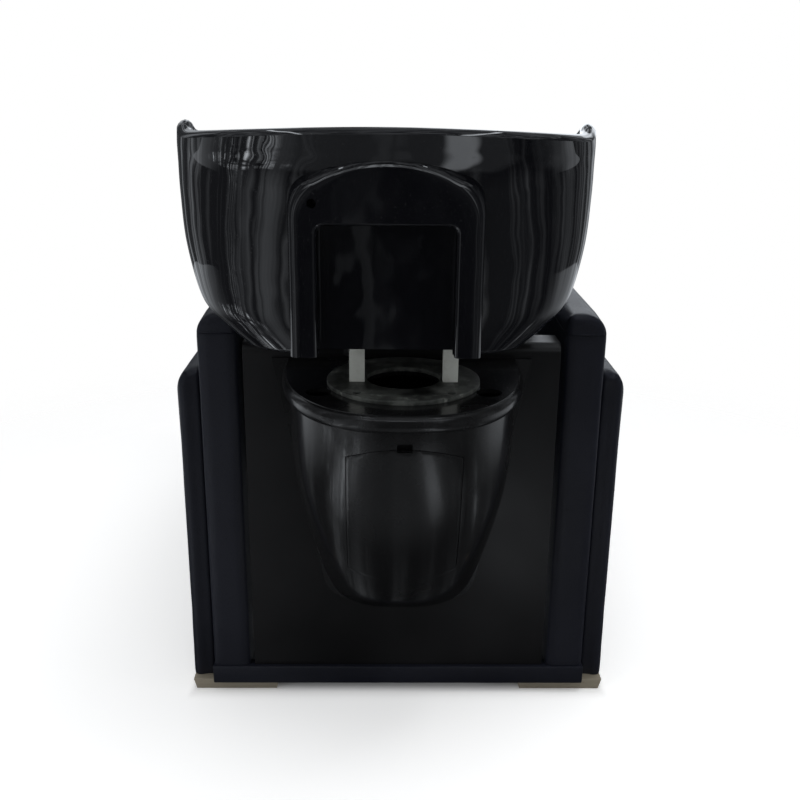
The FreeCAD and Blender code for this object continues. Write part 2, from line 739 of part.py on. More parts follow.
node(rod("hinge_pin", "-hinge_arm_spread - 2 * hinge_arm_thick", f"{PANEL_REAR} - hinge_reach",
         "hinge_height", "hinge_pin_radius", "2 * hinge_arm_spread + 4 * hinge_arm_thick", ACROSS),
     "hatch_hinge_pin")
for side, hand in SIDES:
    for row in ("upper", "lower"):
        pod = pod.cut(bolt_tools[row, side].Shape)
shaped("pod_shell", pod.removeSplitter())

# Magnetic catch: a strike plate on the hatch, a magnet on a bracket that hangs from the deck
catch_low = sizes.deck_height - sizes.deck_thick - sizes.catch_drop
strike_top = notch_top - sizes.notch_height - sizes.strike_gap
strike_y = panel_rear - sizes.pod_reach + pod_inside
strike = Part.makeBox(sizes.catch_width, sizes.strike_thick + sizes.catch_lean, strike_top - catch_low,
                      Vector(-sizes.catch_width / 2, strike_y, catch_low))
shaped("catch_strike_plate", strike.common(body_inside))
CATCH_Y = f"{PANEL_REAR} - pod_reach + lip_step + pod_wall + strike_thick + catch_lean + seat_gap"
CATCH_LOW = "(deck_height - deck_thick - catch_drop)"
node(box("magnet", "-catch_width / 2", CATCH_Y, CATCH_LOW, "catch_width", "magnet_thick", "catch_width"),
     "catch_magnet")
node(box("catch_arm", "-catch_width / 2", f"{CATCH_Y} + magnet_thick", CATCH_LOW, "catch_width",
         "bracket_thick", "catch_drop"), "catch_bracket")

# Gasket plate, tilt posts and their bolts
WASTE_Y = f"({PANEL_REAR} - waste_setback)"
POST_Y = f"({PANEL_REAR} - post_setback)"
plate = rod("gasket_disc", "0 mm", WASTE_Y, "deck_height", "gasket_radius", "gasket_thick")
plate_holes = [rod("gasket_waste", "0 mm", WASTE_Y, "deck_height", "waste_hole_radius", "gasket_thick")]
post_bolts = []
for side, hand in SIDES:
    post_x = f"{hand} * post_spread"
    plate_holes.append(rod(f"gasket_hole_{side}", f"{hand} * gasket_hole_spread",
                           f"{PANEL_REAR} - gasket_hole_setback", "deck_height", "gasket_hole_radius",
                           "gasket_thick"))
    bolt_low = "deck_height - deck_thick"
    shank = rod(f"post_bolt_shank_{side}", post_x, POST_Y, bolt_low, "bolt_radius",
                "deck_thick + gasket_thick + post_bolt_grip")
    head = rod(f"post_bolt_head_{side}", post_x, POST_Y, f"{bolt_low} - bolt_head_height", "bolt_head_radius",
               "bolt_head_height")
    plate_holes.append(shank)
    post_bolts.append(joined(f"post_bolt_{side}", [shank, head]))
    stem = box(f"{side}_post_stem", f"{post_x} - post_width / 2", f"{POST_Y} - post_thick / 2", POST_FOOT,
               "post_width", "post_thick", f"tilt_height - {POST_FOOT}")
    crest = rod(f"{side}_post_crest", f"{post_x} - post_width / 2", POST_Y, "tilt_height", "post_thick / 2",
                "post_width", ACROSS)
    bore = rod(f"{side}_post_bore", f"{post_x} - post_width / 2", POST_Y, "tilt_height",
               "pivot_radius + pivot_clear", "post_width", ACROSS)
    node(less(f"{side}_post_drilled", joined(f"{side}_post_blank", [stem, crest]), [bore, shank]),
         f"{side}_tilt_post")
node(less("gasket_cut", plate, plate_holes), "deck_gasket")
node(group("post_bolt_group", post_bolts), "post_bolts")

# Saddle under the bowl with a lug outside each post, and the two pivot pins
LUG_IN = "(post_spread + post_width / 2 + lug_gap)"
BASIN_UNDER = "(basin_floor - bowl_wall)"
saddle_half = f"({LUG_IN} + lug_thick)"
saddle_parts = [box("saddle_plate", f"-{saddle_half}", f"{POST_Y} - saddle_depth / 2 + saddle_shift",
                    f"{BASIN_UNDER} - saddle_thick", f"2 * {saddle_half}", "saddle_depth", "saddle_thick")]
lug_bores = [rod("saddle_nut_hole", "bowl_side_set", WASTE_Y, f"{BASIN_UNDER} - saddle_thick",
                 "saddle_hole_radius", "saddle_thick")]
for side, hand in SIDES:
    lug_x = LUG_IN if hand > 0 else f"-{saddle_half}"
    saddle_parts.append(box(f"{side}_lug_web", lug_x, f"{POST_Y} - lug_radius", "tilt_height", "lug_thick",
                            "2 * lug_radius", f"{BASIN_UNDER} - saddle_thick - tilt_height"))
    saddle_parts.append(rod(f"{side}_lug_eye", lug_x, POST_Y, "tilt_height", "lug_radius", "lug_thick",
                            ACROSS))
    pin_run = "post_width + lug_gap + lug_thick"
    pin_x = "post_spread - post_width / 2" if hand > 0 else f"-{saddle_half}"
    pin = node(rod(f"{side}_pin", pin_x, POST_Y, "tilt_height", "pivot_radius", pin_run, ACROSS),
               f"{side}_pivot_pin")
    lug_bores.append(pin)
node(less("saddle_drilled", joined("saddle_blank", saddle_parts), lug_bores), "bowl_saddle")
doc.recompute()

# Bowl: apron, basin, hollow underside, arched rear boss with its niche, ears and neck notch
bowl_middle = sizes.bowl_side_set


def plan(level, half, rear_draw, front_draw, wall=0.0):
    """One level of the bowl, set in from its rear and front ends, and drawn in by a wall."""
    rise = (level - sizes.bowl_edge) / (sizes.bowl_top - sizes.bowl_edge)
    squareness = sizes.bowl_edge_squareness + (sizes.bowl_squareness - sizes.bowl_edge_squareness) * rise
    return oval(level, half - wall, bowl_rear + rear_draw + wall, bowl_front - front_draw - wall,
                squareness, middle=bowl_middle)


def levels(*names):
    """Rows of height, half width, rear draw and front draw for named levels."""
    return [[getattr(sizes, name + tail) for tail in ("", "_half_width", "_rear_draw", "_front_draw")]
            for name in names]


apron_rows = levels("bowl_edge", "bowl_waist", "bowl_belly", "bowl_side", "bowl_shoulder", "bowl_brow")
rim_rows = [[level, sizes.bowl_top_half_width, 0, 0] for level in (sizes.bowl_rim, sizes.bowl_top)]
apron = Part.makeLoft([plan(*row) for row in apron_rows + rim_rows], True, False)
basin_rows = levels("basin_floor", "basin_low", "basin_mid", "basin_high", "basin_brow")
basin_top = [sizes.bowl_top + past, sizes.bowl_top_half_width - sizes.basin_top_draw, sizes.basin_top_draw,
             sizes.basin_top_draw]
basin = Part.makeLoft([plan(*row) for row in basin_rows + [basin_top]], True, False)
shell_rows = [[row[0] - (sizes.bowl_wall if i == 0 else 0)] + row[1:]
              for i, row in enumerate(basin_rows + [basin_top])]
basin_shell = Part.makeLoft([plan(*row, wall=-sizes.bowl_wall) for row in shell_rows], True, False)
hollow_rows = [list(row) for row in apron_rows[:-1]]
hollow_rows[0][0] -= past
hollow_rows[-1][0] = sizes.hollow_top
hollow = Part.makeLoft([plan(*row, wall=sizes.bowl_wall) for row in hollow_rows], True, False)
hollow = hollow.cut(basin_shell)

arch_y = bowl_rear + sizes.arch_setback
arch_depth = sizes.basin_floor_rear_draw - sizes.arch_setback
sideways = Vector(bowl_middle, 0, 0)
boss = slab(arched(sizes.arch_half_width, sizes.bowl_edge, sizes.arch_shoulder, sizes.arch_crown, arch_y),
            ALONG * arch_depth)
boss = boss.makeFillet(sizes.arch_edge_round, [edge for edge in boss.Edges
                                               if edge.BoundBox.YMax < arch_y + past / 2
                                               and edge.BoundBox.ZMax > sizes.bowl_edge + past])
boss.translate(sideways)


def niche_block(wall, start, depth):
    """The niche's outline grown by a wall, as a block from the arch's face inwards."""
    foot = sizes.bowl_edge - (0 if wall else past)
    top = sizes.niche_top + wall
    outline = arched(sizes.niche_half_width + wall, foot, top, top + sizes.niche_crown, arch_y + start)
    block = slab(outline, ALONG * depth)
    block.translate(sideways)
    return block


niche = niche_block(0, -past, sizes.niche_depth + past)
niche_case = niche_block(sizes.niche_wall, past, sizes.niche_depth + sizes.niche_wall - past)
anchor = Vector(bowl_middle - sizes.anchor_hole_side, arch_y - past, sizes.anchor_hole_height)
anchor_hole = Part.makeCylinder(sizes.anchor_hole_radius, arch_depth, anchor, ALONG)


def rim_height(x, y):
    """Height of the rim over one point: crowned at the rear, an ear each side, lower at the neck."""
    off = abs(x - bowl_middle)
    height = sizes.bowl_rim - sizes.bowl_rim_fall * (off / sizes.bowl_shoulder_half_width) ** 2
    ear_y = bowl_rear + sizes.ear_setback
    outward = min(max((off / sizes.bowl_shoulder_half_width - sizes.ear_start) / sizes.ear_blend, 0), 1)
    height += sizes.ear_rise * math.exp(-((y - ear_y) / sizes.ear_length) ** 2) * outward
    forward = min(max((y - ear_y) / (bowl_front - ear_y), 0), 1)
    return height - sizes.bowl_front_fall * forward * forward * (3 - 2 * forward)


grid_steps = 22
margin = 20
spread = sizes.bowl_shoulder_half_width + margin
run = sizes.bowl_length + 2 * margin
grid = []
for i in range(grid_steps + 1):
    x = bowl_middle + spread * (2 * i / grid_steps - 1)
    line = [(x, bowl_rear - margin + run * j / grid_steps) for j in range(grid_steps + 1)]
    grid.append([Vector(x, y, rim_height(x, y)) for x, y in line])
rim_surface = Part.BSplineSurface()
rim_surface.interpolate(grid)
above_rim = rim_surface.toShape().extrude(UP * (2 * (sizes.bowl_top - sizes.bowl_rim) + margin))
front_rim = sizes.bowl_rim - sizes.bowl_front_fall
neck_axis = Vector(bowl_middle, bowl_front - 2 * sizes.neck_pad_inside,
                   front_rim - sizes.neck_depth + sizes.neck_radius)
neck_cut = Part.makeCylinder(sizes.neck_radius, 3 * sizes.neck_pad_inside, neck_axis, ALONG)
drain_hole = upright_cylinder(sizes.drain_hole_radius, bowl_middle, waste_y,
                              sizes.basin_floor - 2 * sizes.bowl_wall, sizes.basin_floor + past)
bowl = apron.fuse(boss).cut(hollow).cut(anchor_hole).fuse(niche_case)
bowl = bowl.fuse(basin_shell.common(apron)).cut(niche)
bowl = bowl.cut(basin).cut(above_rim).cut(neck_cut).cut(drain_hole)
shaped("bowl", bowl)

# Neck rest: a rubber channel that clips over the neck notch


def neck_ring(outer, start, stop):
    """Part of a ring about the notch's axis, below the front rim."""
    base = Vector(neck_axis.x, bowl_front + start, neck_axis.z)
    ring = Part.makeCylinder(outer, stop - start, base, ALONG)
    ring = ring.cut(Part.makeCylinder(sizes.neck_radius - sizes.neck_pad, stop - start, base, ALONG))
    keep = Part.makeBox(sizes.unit_width, stop - start, sizes.neck_radius,
                        Vector(neck_axis.x - sizes.unit_width / 2, base.y,
                           front_rim - sizes.neck_radius - sizes.neck_pad_drop))
    return ring.common(keep)


inside = -sizes.neck_pad_inside
outside = sizes.neck_pad_outside
grip = sizes.neck_radius + sizes.neck_pad_grip
pad = neck_ring(sizes.neck_radius - clear, inside, outside)
pad = pad.fuse(neck_ring(grip, inside, inside + sizes.neck_pad_flange))
pad = pad.fuse(neck_ring(grip, outside - sizes.neck_pad_flange, outside))
shaped("neck_rest", pad.cut(bowl).removeSplitter())

# Waste fitting: flanged tail, seal, nut and a lift-out strainer
FLANGE_TOP = "(basin_floor + drain_flange_thick)"


def turned(label, corners):
    body = profile_body(label + "_turned", corners)
    return node(bind(body, x="bowl_side_set", y=WASTE_Y, z="0 mm"), label)


turned("waste_flange", [("drain_bore_radius", "drain_tail_end"), ("drain_tail_radius", "drain_tail_end"),
                        ("drain_tail_radius", "basin_floor"), ("drain_flange_radius", "basin_floor"),
                        ("drain_flange_radius - drain_flange_thick", FLANGE_TOP),
                        ("drain_bore_radius", FLANGE_TOP)])
seal_low = f"({BASIN_UNDER} - drain_seal_thick)"
turned("waste_seal", [("drain_tail_radius", seal_low), ("drain_nut_radius", seal_low),
                      ("drain_nut_radius", BASIN_UNDER), ("drain_tail_radius", BASIN_UNDER)])
nut_low = f"({seal_low} - drain_nut_height)"
turned("waste_nut", [("drain_tail_radius", nut_low), ("drain_nut_radius", nut_low),
                     ("drain_nut_radius", seal_low), ("drain_tail_radius", seal_low)])
cup = "(drain_bore_radius - strainer_clear)"
cup_in = f"({cup} - strainer_wall)"
cup_low = f"({FLANGE_TOP} + strainer_clear - strainer_depth)"
lid = f"({FLANGE_TOP} + strainer_clear)"
cup_body = profile_body("strainer_turned", [
    ("0", cup_low), (cup, cup_low), (cup, lid), ("strainer_rim_radius", lid),
    ("strainer_rim_radius", f"{lid} + strainer_wall"), (cup_in, f"{lid} + strainer_wall"),
    (cup_in, f"{cup_low} + strainer_wall"), ("0", f"{cup_low} + strainer_wall")])
bind(cup_body, x="bowl_side_set", y=WASTE_Y, z="0 mm")
holes = []
for i in range(int(sizes.strainer_hole_count)):
    angle = f"{i} * 360 / strainer_hole_count"
    holes.append(rod(f"strainer_hole_{i}", f"bowl_side_set + strainer_hole_circle * cos({angle})",
                     f"{WASTE_Y} + strainer_hole_circle * sin({angle})", cup_low, "strainer_hole_radius",
                     "strainer_wall"))
node(less("strainer_drilled", cup_body, holes), "waste_strainer")

# Seat and backrest between the arms
inner_width = f"(2 * {ARM_IN} - 2 * seat_gap)"
BOARD_TOP = "(seat_board_height + seat_board_thick)"
for side, hand in SIDES:
    rail_x = f"{ARM_IN} - seat_gap - seat_rail_thick" if hand > 0 else f"seat_gap - {ARM_IN}"
    node(box(f"{side}_batten", rail_x, f"{ARM_FRONT} - seat_depth", "seat_board_height - seat_rail_height",
             "seat_rail_thick", "seat_depth - front_panel_thick", "seat_rail_height"), f"{side}_seat_rail")
node(box("seat_ply", f"seat_gap - {ARM_IN}", f"{ARM_FRONT} - back_foot_setback", "seat_board_height",
         inner_width, "back_foot_setback - front_panel_thick", "seat_board_thick"), "seat_board")
half_seat = arm_in - sizes.cushion_side_gap
board_top = sizes.seat_board_height + sizes.seat_board_thick
shaped("seat_cushion",
       cushion(Vector(-half_seat, arm_front - sizes.seat_depth, board_top + clear),
               Vector(half_seat, arm_front, board_top + sizes.seat_cushion_thick),
               "x", sizes.cushion_corner, sizes.cushion_crown, sizes.cushion_crown))
half_front = arm_in - clear
shaped("front_panel",
       cushion(Vector(-half_front, arm_front - sizes.front_panel_thick, rail_top),
               Vector(half_front, arm_front, board_top),
               "x", sizes.front_panel_corner, sizes.pad_swell, sizes.pad_swell))
back_ply = box("back_ply", f"seat_gap - {ARM_IN}", f"{ARM_FRONT} - back_foot_setback", BOARD_TOP, inner_width,
               "back_board_thick", "back_board_length")
back_ply.Placement.Rotation = Rotation(ACROSS, sizes.back_recline)
bind(back_ply, turn="back_recline")
trim = box("back_trim", "-unit_width / 2", "-unit_length / 2", f"{BOARD_TOP} - unit_length", "unit_width",
           "unit_length", "unit_length")
node(less("back_ply_trimmed", back_ply, [trim]), "back_board")
back = cushion(Vector(-half_seat, sizes.back_board_thick + clear, sizes.back_cushion_foot),
               Vector(half_seat, sizes.back_board_thick + sizes.back_cushion_thick,
                      sizes.back_cushion_foot + sizes.back_cushion_length),
               "x", sizes.cushion_corner, sizes.cushion_crown, sizes.cushion_crown)
lean = Placement(Vector(0, arm_front - sizes.back_foot_setback, board_top),
                 Rotation(ACROSS, sizes.back_recline))
back.Placement = lean.multiply(back.Placement)
shaped("back_cushion", back)

# Test every object, then write one file for each sub-part
doc.recompute()
for item in doc.Objects:
    if "Invalid" in item.State or "Error" in item.State:
        raise RuntimeError(f"{item.Label} did not build: {item.State}")
for item in nodes:
    if item.Shape.isNull() or not item.Shape.isValid():
        raise RuntimeError(f"{item.Label} has no valid shape")
os.makedirs("parts", exist_ok=True)
for item in nodes:
    item.Shape.exportStep(f"parts/{item.Label}.step")
    print(item.Label, len(item.Shape.Solids), round(item.Shape.Volume))
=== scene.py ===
import json
import math

import bmesh
import bpy
from mathutils import Matrix, Vector
from mathutils.bvhtree import BVHTree


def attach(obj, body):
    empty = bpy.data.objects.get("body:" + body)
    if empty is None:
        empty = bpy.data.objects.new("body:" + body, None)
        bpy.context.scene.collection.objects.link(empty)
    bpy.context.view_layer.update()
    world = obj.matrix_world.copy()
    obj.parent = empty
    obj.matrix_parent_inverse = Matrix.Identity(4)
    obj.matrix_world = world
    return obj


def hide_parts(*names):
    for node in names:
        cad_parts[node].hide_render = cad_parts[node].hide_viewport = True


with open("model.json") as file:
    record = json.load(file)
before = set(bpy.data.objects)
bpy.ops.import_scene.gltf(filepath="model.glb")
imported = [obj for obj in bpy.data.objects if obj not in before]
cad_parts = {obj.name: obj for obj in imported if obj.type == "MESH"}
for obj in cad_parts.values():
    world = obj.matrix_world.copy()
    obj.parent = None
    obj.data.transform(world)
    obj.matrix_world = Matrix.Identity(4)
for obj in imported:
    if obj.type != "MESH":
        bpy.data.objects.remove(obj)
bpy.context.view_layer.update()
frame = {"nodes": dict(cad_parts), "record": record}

# Backwash unit seen from the hairdresser's side. Metres, in the frame of the solids.
scene = bpy.context.scene
nodes = frame["nodes"]


# Paint


class Wire:
    """A shader socket that takes part in Python sums."""

    def __init__(self, finish, socket):
        self.finish = finish
        self.socket = socket

    def __add__(self, other):
        return self.finish.sum("ADD", self, other)

    def __sub__(self, other):
        return self.finish.sum("SUBTRACT", self, other)

    def __rsub__(self, other):
        return self.finish.sum("SUBTRACT", other, self)

    def __mul__(self, other):
        return self.finish.sum("MULTIPLY", self, other)

    def __truediv__(self, other):
        return self.finish.sum("DIVIDE", self, other)


class Finish:
    """One material, built from nodes."""

    def __init__(self, name, **fixed):
        self.material = bpy.data.materials.new(name)
        self.material.use_nodes = True
        self.tree = self.material.node_tree
        self.shader = self.tree.nodes["Principled BSDF"]
        self.set(**fixed)
        self.place = self.node("ShaderNodeTexCoord", out="Object")

    def set(self, **inputs):
        for name, value in inputs.items():
            self.plug(self.shader.inputs[name.replace("_", " ")], value)
        return self

    def plug(self, socket, value):
        if isinstance(value, Wire):
            self.tree.links.new(value.socket, socket)
        else:
            socket.default_value = value

    def node(self, kind, settings=None, out=0, **inputs):
        """Add a node: its settings first, then the values or links of its sockets."""
        made = self.tree.nodes.new(kind)
        for name, value in (settings or {}).items():
            setattr(made, name, value)
        for name, value in inputs.items():
            key = int(name[1:]) if name[0] == "i" and name[1:].isdigit() else name.replace("_", " ")
            self.plug(made.inputs[key], value)
        return Wire(self, made.outputs[out])

    def sum(self, operation, first, second):
        return self.node("ShaderNodeMath", {"operation": operation}, i0=first, i1=second)

    def unsigned(self, value):
        """A value without its sign."""
        return self.node("ShaderNodeMath", {"operation": "ABSOLUTE"}, i0=value)

    def length(self, vector):
        return self.node("ShaderNodeVectorMath", {"operation": "LENGTH"}, out="Value", i0=vector)

    def axes(self, names):
        """The object coordinates along the named axes, each on its own."""
        return [self.node("ShaderNodeSeparateXYZ", out=axis, Vector=self.place) for axis in names]

    def stretch(self, x, y, z):
        """Object coordinates scaled apart, for brushed lines and grain."""
        return self.node("ShaderNodeMapping", Vector=self.place, Scale=(x, y, z))

    def noise(self, scale, detail=3.0, roughness=0.5, place=None):
        return self.node("ShaderNodeTexNoise", out="Fac", Vector=place or self.place, Scale=scale,
                         Detail=detail, Roughness=roughness)

    def cells(self, scale, feature="F1"):
        return self.node("ShaderNodeTexVoronoi", {"feature": feature}, out="Distance", Vector=self.place,
                         Scale=scale)

    def ramp(self, value, low, high, start=0.0, stop=1.0):
        """A value from start to stop as the input goes from low to high."""
        return self.node("ShaderNodeMapRange", {"interpolation_type": "SMOOTHSTEP"}, Value=value,
                         i1=low, i2=high, i3=start, i4=stop)

    def mix(self, factor, first, second):
        """Blend two colours."""
        return self.node("ShaderNodeMix", {"data_type": "RGBA"}, out=2, i0=factor, i6=first, i7=second)

    def bump(self, height, strength, distance, normal=None):
        inputs = {"Strength": strength, "Distance": distance, "Height": height}
        if normal:
            inputs["Normal"] = normal
        return self.node("ShaderNodeBump", **inputs)


def rgb(red, green, blue):
    return (red, green, blue, 1.0)


def bowl_glaze():
    """Black sanitary glaze: mirror gloss that waves a little, a breath of dust, faint wipe marks."""
    f = Finish("bowl_glaze", Specular_IOR_Level=0.8)
    waves = f.noise(5.0, 3.0)
    dust = f.ramp(f.noise(420.0, 2.0), 0.66, 0.74)
    wipes = f.ramp(f.noise(7.0, 4.0, place=f.stretch(1.0, 1.0, 0.35)), 0.45, 0.75)
    shade = f.mix(dust * 0.35, rgb(0.0035, 0.0036, 0.0048), rgb(0.03, 0.03, 0.032))
    return f.set(Base_Color=shade, Roughness=wipes * 0.05 + dust * 0.2 + 0.035,
                 Normal=f.bump(waves, 0.22, 0.02)).material


def pod_gloss():
    """Black moulded shell: gloss with a fine orange peel and rubbed, slightly duller patches."""
    f = Finish("pod_gloss", Coat_Weight=0.25, Coat_Roughness=0.08, Specular_IOR_Level=0.45)
    rubbed = f.ramp(f.noise(11.0, 4.0), 0.40, 0.72)
    dust = f.ramp(f.noise(520.0, 2.0), 0.68, 0.76)
    shade = f.mix(dust * 0.25, rgb(0.0060, 0.0060, 0.0064), rgb(0.030, 0.030, 0.030))
    peel = f.noise(170.0, 2.0)
    return f.set(Base_Color=shade, Roughness=rubbed * 0.10 + dust * 0.15 + 0.19,
                 Normal=f.bump(peel, 0.035, 0.002)).material


def panel_satin():
    """Black satin sheet with a faint moulded stipple."""
    f = Finish("panel_satin", Specular_IOR_Level=0.4)
    cloud = f.ramp(f.noise(6.0, 4.0), 0.35, 0.75)
    stipple = f.noise(900.0, 1.0)
    shade = f.mix(cloud, rgb(0.0045, 0.0043, 0.0048), rgb(0.0075, 0.0072, 0.0080))
    return f.set(Base_Color=shade, Roughness=cloud * 0.10 + 0.30,
                 Normal=f.bump(stipple, 0.06, 0.0006)).material


def leatherette():
    """Black leatherette: pebbled grain, soft creases with painted shade in their valleys, a bluish bloom."""
    f = Finish("leatherette", Specular_IOR_Level=0.35, Sheen_Weight=0.05, Sheen_Roughness=0.4,
               Sheen_Tint=rgb(0.55, 0.62, 0.8))
    pebble = f.cells(620.0, "SMOOTH_F1")
    crease = f.cells(210.0, "DISTANCE_TO_EDGE")
    folds = f.noise(14.0, 5.0, 0.6)
    bloom = f.ramp(f.noise(5.0, 3.0), 0.3, 0.75)
    valley = f.ramp(crease, 0.0, 0.05, 1.0, 0.0)
    shade = f.mix(bloom, rgb(0.0056, 0.0062, 0.0112), rgb(0.0096, 0.0106, 0.0180))
    # the crease valleys are darkened: painted shade; the same mask also sinks them in the bump and roughens
    # them
    shade = f.mix(valley * 0.5, shade, rgb(0.003, 0.003, 0.004))
    grain = f.bump(pebble + valley * -0.6, 0.22, 0.0008)
    return f.set(Base_Color=shade, Roughness=bloom * 0.10 + valley * 0.12 + 0.36,
                 Normal=f.bump(folds, 0.12, 0.004, grain)).material


def post_white():
    """Off-white powder coat with fine texture, rubs and patches of grime."""
    f = Finish("post_white", Specular_IOR_Level=0.4)
    grime = f.ramp(f.noise(60.0, 5.0, 0.65), 0.45, 0.8)
    chips = f.ramp(f.cells(140.0), 0.05, 0.09, 1.0, 0.0) * f.ramp(f.noise(25.0), 0.52, 0.6)
    shade = f.mix(grime * 0.55, rgb(0.60, 0.62, 0.58), rgb(0.36, 0.36, 0.32))
    shade = f.mix(chips, shade, rgb(0.16, 0.16, 0.16))
    return f.set(Base_Color=shade, Roughness=grime * 0.2 + 0.38,
                 Normal=f.bump(f.noise(700.0, 1.0), 0.1, 0.0006)).material


def gasket_grey():
    """Worn grey gasket: mottled, with pale dried water stains and dark grime."""
    f = Finish("gasket_grey", Specular_IOR_Level=0.35)
    mottle = f.noise(38.0, 6.0, 0.7)
    stains = f.ramp(f.noise(75.0, 5.0, 0.7), 0.56, 0.70)
    grime = f.ramp(f.noise(22.0, 4.0, 0.6), 0.46, 0.62)
    shade = f.mix(f.ramp(mottle, 0.35, 0.65), rgb(0.030, 0.032, 0.030), rgb(0.105, 0.112, 0.104))
    shade = f.mix(stains * 0.8, shade, rgb(0.26, 0.27, 0.25))
    shade = f.mix(grime * 0.7, shade, rgb(0.012, 0.013, 0.012))
    return f.set(Base_Color=shade, Roughness=stains * 0.25 + 0.42,
                 Normal=f.bump(mottle + stains * 0.5, 0.25, 0.0015)).material


def foot_metal():
    """Warm brushed steel, the lines along the foot."""
    f = Finish("foot_metal", Metallic=0.4)
    lines = f.noise(1.0, 3.0, 0.6, f.stretch(14.0, 900.0, 900.0))
    smear = f.ramp(f.noise(16.0, 3.0), 0.35, 0.7)
    shade = f.mix(lines, rgb(0.25, 0.22, 0.165), rgb(0.44, 0.39, 0.31))
    return f.set(Base_Color=shade, Roughness=lines * 0.18 + smear * 0.10 + 0.20,
                 Normal=f.bump(lines, 0.08, 0.0005)).material


def zinc():
    """Zinc plate with its spangle."""
    f = Finish("zinc", Metallic=1.0)
    spangle = f.cells(260.0)
    shade = f.mix(f.ramp(spangle, 0.0, 0.7), rgb(0.42, 0.43, 0.45), rgb(0.62, 0.63, 0.64))
    return f.set(Base_Color=shade, Roughness=spangle * 0.2 + 0.28).material


def black_steel():
    """Black stove paint with small chips."""
    f = Finish("black_steel", Specular_IOR_Level=0.45)
    peel = f.noise(260.0, 2.0)
    chips = f.ramp(f.noise(120.0, 4.0), 0.70, 0.74)
    shade = f.mix(chips, rgb(0.010, 0.010, 0.011), rgb(0.13, 0.12, 0.11))
    return f.set(Base_Color=shade, Roughness=peel * 0.2 + 0.3, Metallic=chips * 0.8,
                 Normal=f.bump(peel, 0.08, 0.001)).material


def plywood():
    """Birch plywood with long grain."""
    f = Finish("plywood", Specular_IOR_Level=0.3)
    grain = f.noise(6.0, 5.0, 0.6, f.stretch(1.2, 26.0, 26.0))
    shade = f.mix(f.ramp(grain, 0.35, 0.65), rgb(0.42, 0.27, 0.14), rgb(0.62, 0.45, 0.27))
    return f.set(Base_Color=shade, Roughness=grain * 0.2 + 0.5,
                 Normal=f.bump(grain, 0.15, 0.001)).material


def chrome_trim():
    """Polished chrome with water spots."""
    f = Finish("chrome_trim", Metallic=1.0)
    spots = f.ramp(f.cells(240.0), 0.10, 0.16, 1.0, 0.0) * f.ramp(f.noise(60.0), 0.5, 0.65)
    shade = f.mix(spots * 0.5, rgb(0.78, 0.79, 0.80), rgb(0.55, 0.55, 0.53))
    return f.set(Base_Color=shade, Roughness=spots * 0.25 + 0.07).material


def black_rubber():
    """Soft matt rubber with a fine bloom."""
    f = Finish("black_rubber", Specular_IOR_Level=0.3)
    bloom = f.ramp(f.noise(30.0, 4.0), 0.4, 0.75)
    shade = f.mix(bloom, rgb(0.010, 0.010, 0.011), rgb(0.022, 0.022, 0.023))
    return f.set(Base_Color=shade, Roughness=bloom * 0.15 + 0.55,
                 Normal=f.bump(f.noise(800.0, 1.0), 0.12, 0.0005)).material


def black_plastic():
    """Matt black moulding, lightly sparked."""
    f = Finish("black_plastic")
    spark = f.noise(700.0, 2.0)
    shade = f.mix(spark, rgb(0.012, 0.012, 0.012), rgb(0.028, 0.028, 0.028))
    return f.set(Base_Color=shade, Roughness=spark * 0.2 + 0.45,
                 Normal=f.bump(spark, 0.1, 0.0006)).material


PAINT = {make.__name__: make() for make in (
    bowl_glaze, pod_gloss, panel_satin, leatherette, post_white, gasket_grey, foot_metal, zinc, black_steel,
    plywood, chrome_trim, black_rubber, black_plastic)}
SLOT = {row["node"]: row["material_slot"] for row in frame["record"]["subparts"]}
BODY = {node: body for body, names in frame["record"]["behaviour"]["bodies"].items() for node in names}

for node, slot in SLOT.items():
    nodes[node].data.materials.clear()
    nodes[node].data.materials.append(PAINT[slot])


# Modelling tools

SAME_PLACE = 1e-5


def deselect():
    if bpy.context.mode != "OBJECT":
        bpy.ops.object.mode_set(mode="OBJECT")
    bpy.ops.object.select_all(action="DESELECT")


def pick(piece):
    """Select one piece alone and make it the active one."""
    deselect()
    piece.select_set(True)
    bpy.context.view_layer.objects.active = piece


def added(name):
    """The object that was just added, under its name."""
    piece = bpy.context.object
    piece.name = name
    return piece


def edit(piece):
    """Open one piece in edit mode with all of it selected."""
    pick(piece)
    bpy.ops.object.mode_set(mode="EDIT")
    bpy.ops.mesh.select_all(action="SELECT")


def apply(piece, kind, **settings):
    """Add a modifier with its settings and apply it."""
    pick(piece)
    modifier = piece.modifiers.new(kind.lower(), kind)
    for name, value in settings.items():
        setattr(modifier, name, value)
    bpy.ops.object.modifier_apply(modifier=modifier.name)


def smooth(piece, angle):
    pick(piece)
    bpy.ops.object.shade_smooth_by_angle(angle=math.radians(angle))
    return piece


def cut(piece, tool, operation="DIFFERENCE"):
    """Take a tool from a piece, or add it, and throw the tool away."""
    apply(piece, "BOOLEAN", operation=operation, object=tool, solver="MANIFOLD")
    bpy.data.objects.remove(tool)


def finished(piece, body, slot, *replaced):
    """Paint a piece, seat it on its body and let it stand for CAD nodes."""
    piece.data.materials.clear()
    piece.data.materials.append(PAINT[slot])
    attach(piece, body)
    if replaced:
        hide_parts(*replaced)
    return piece


def evenly(points, count):
    """Points spread evenly round a closed line."""
    closed = points + points[:1]
    runs = [0.0]
    for a, b in zip(closed, closed[1:]):
        runs.append(runs[-1] + (b - a).length)
    spread = []
    k = 0
    for i in range(count):
        want = runs[-1] * i / count
        while runs[k + 1] < want:
            k += 1
        part = (want - runs[k]) / (runs[k + 1] - runs[k])
        spread.append(closed[k].lerp(closed[k + 1], part))
    return spread


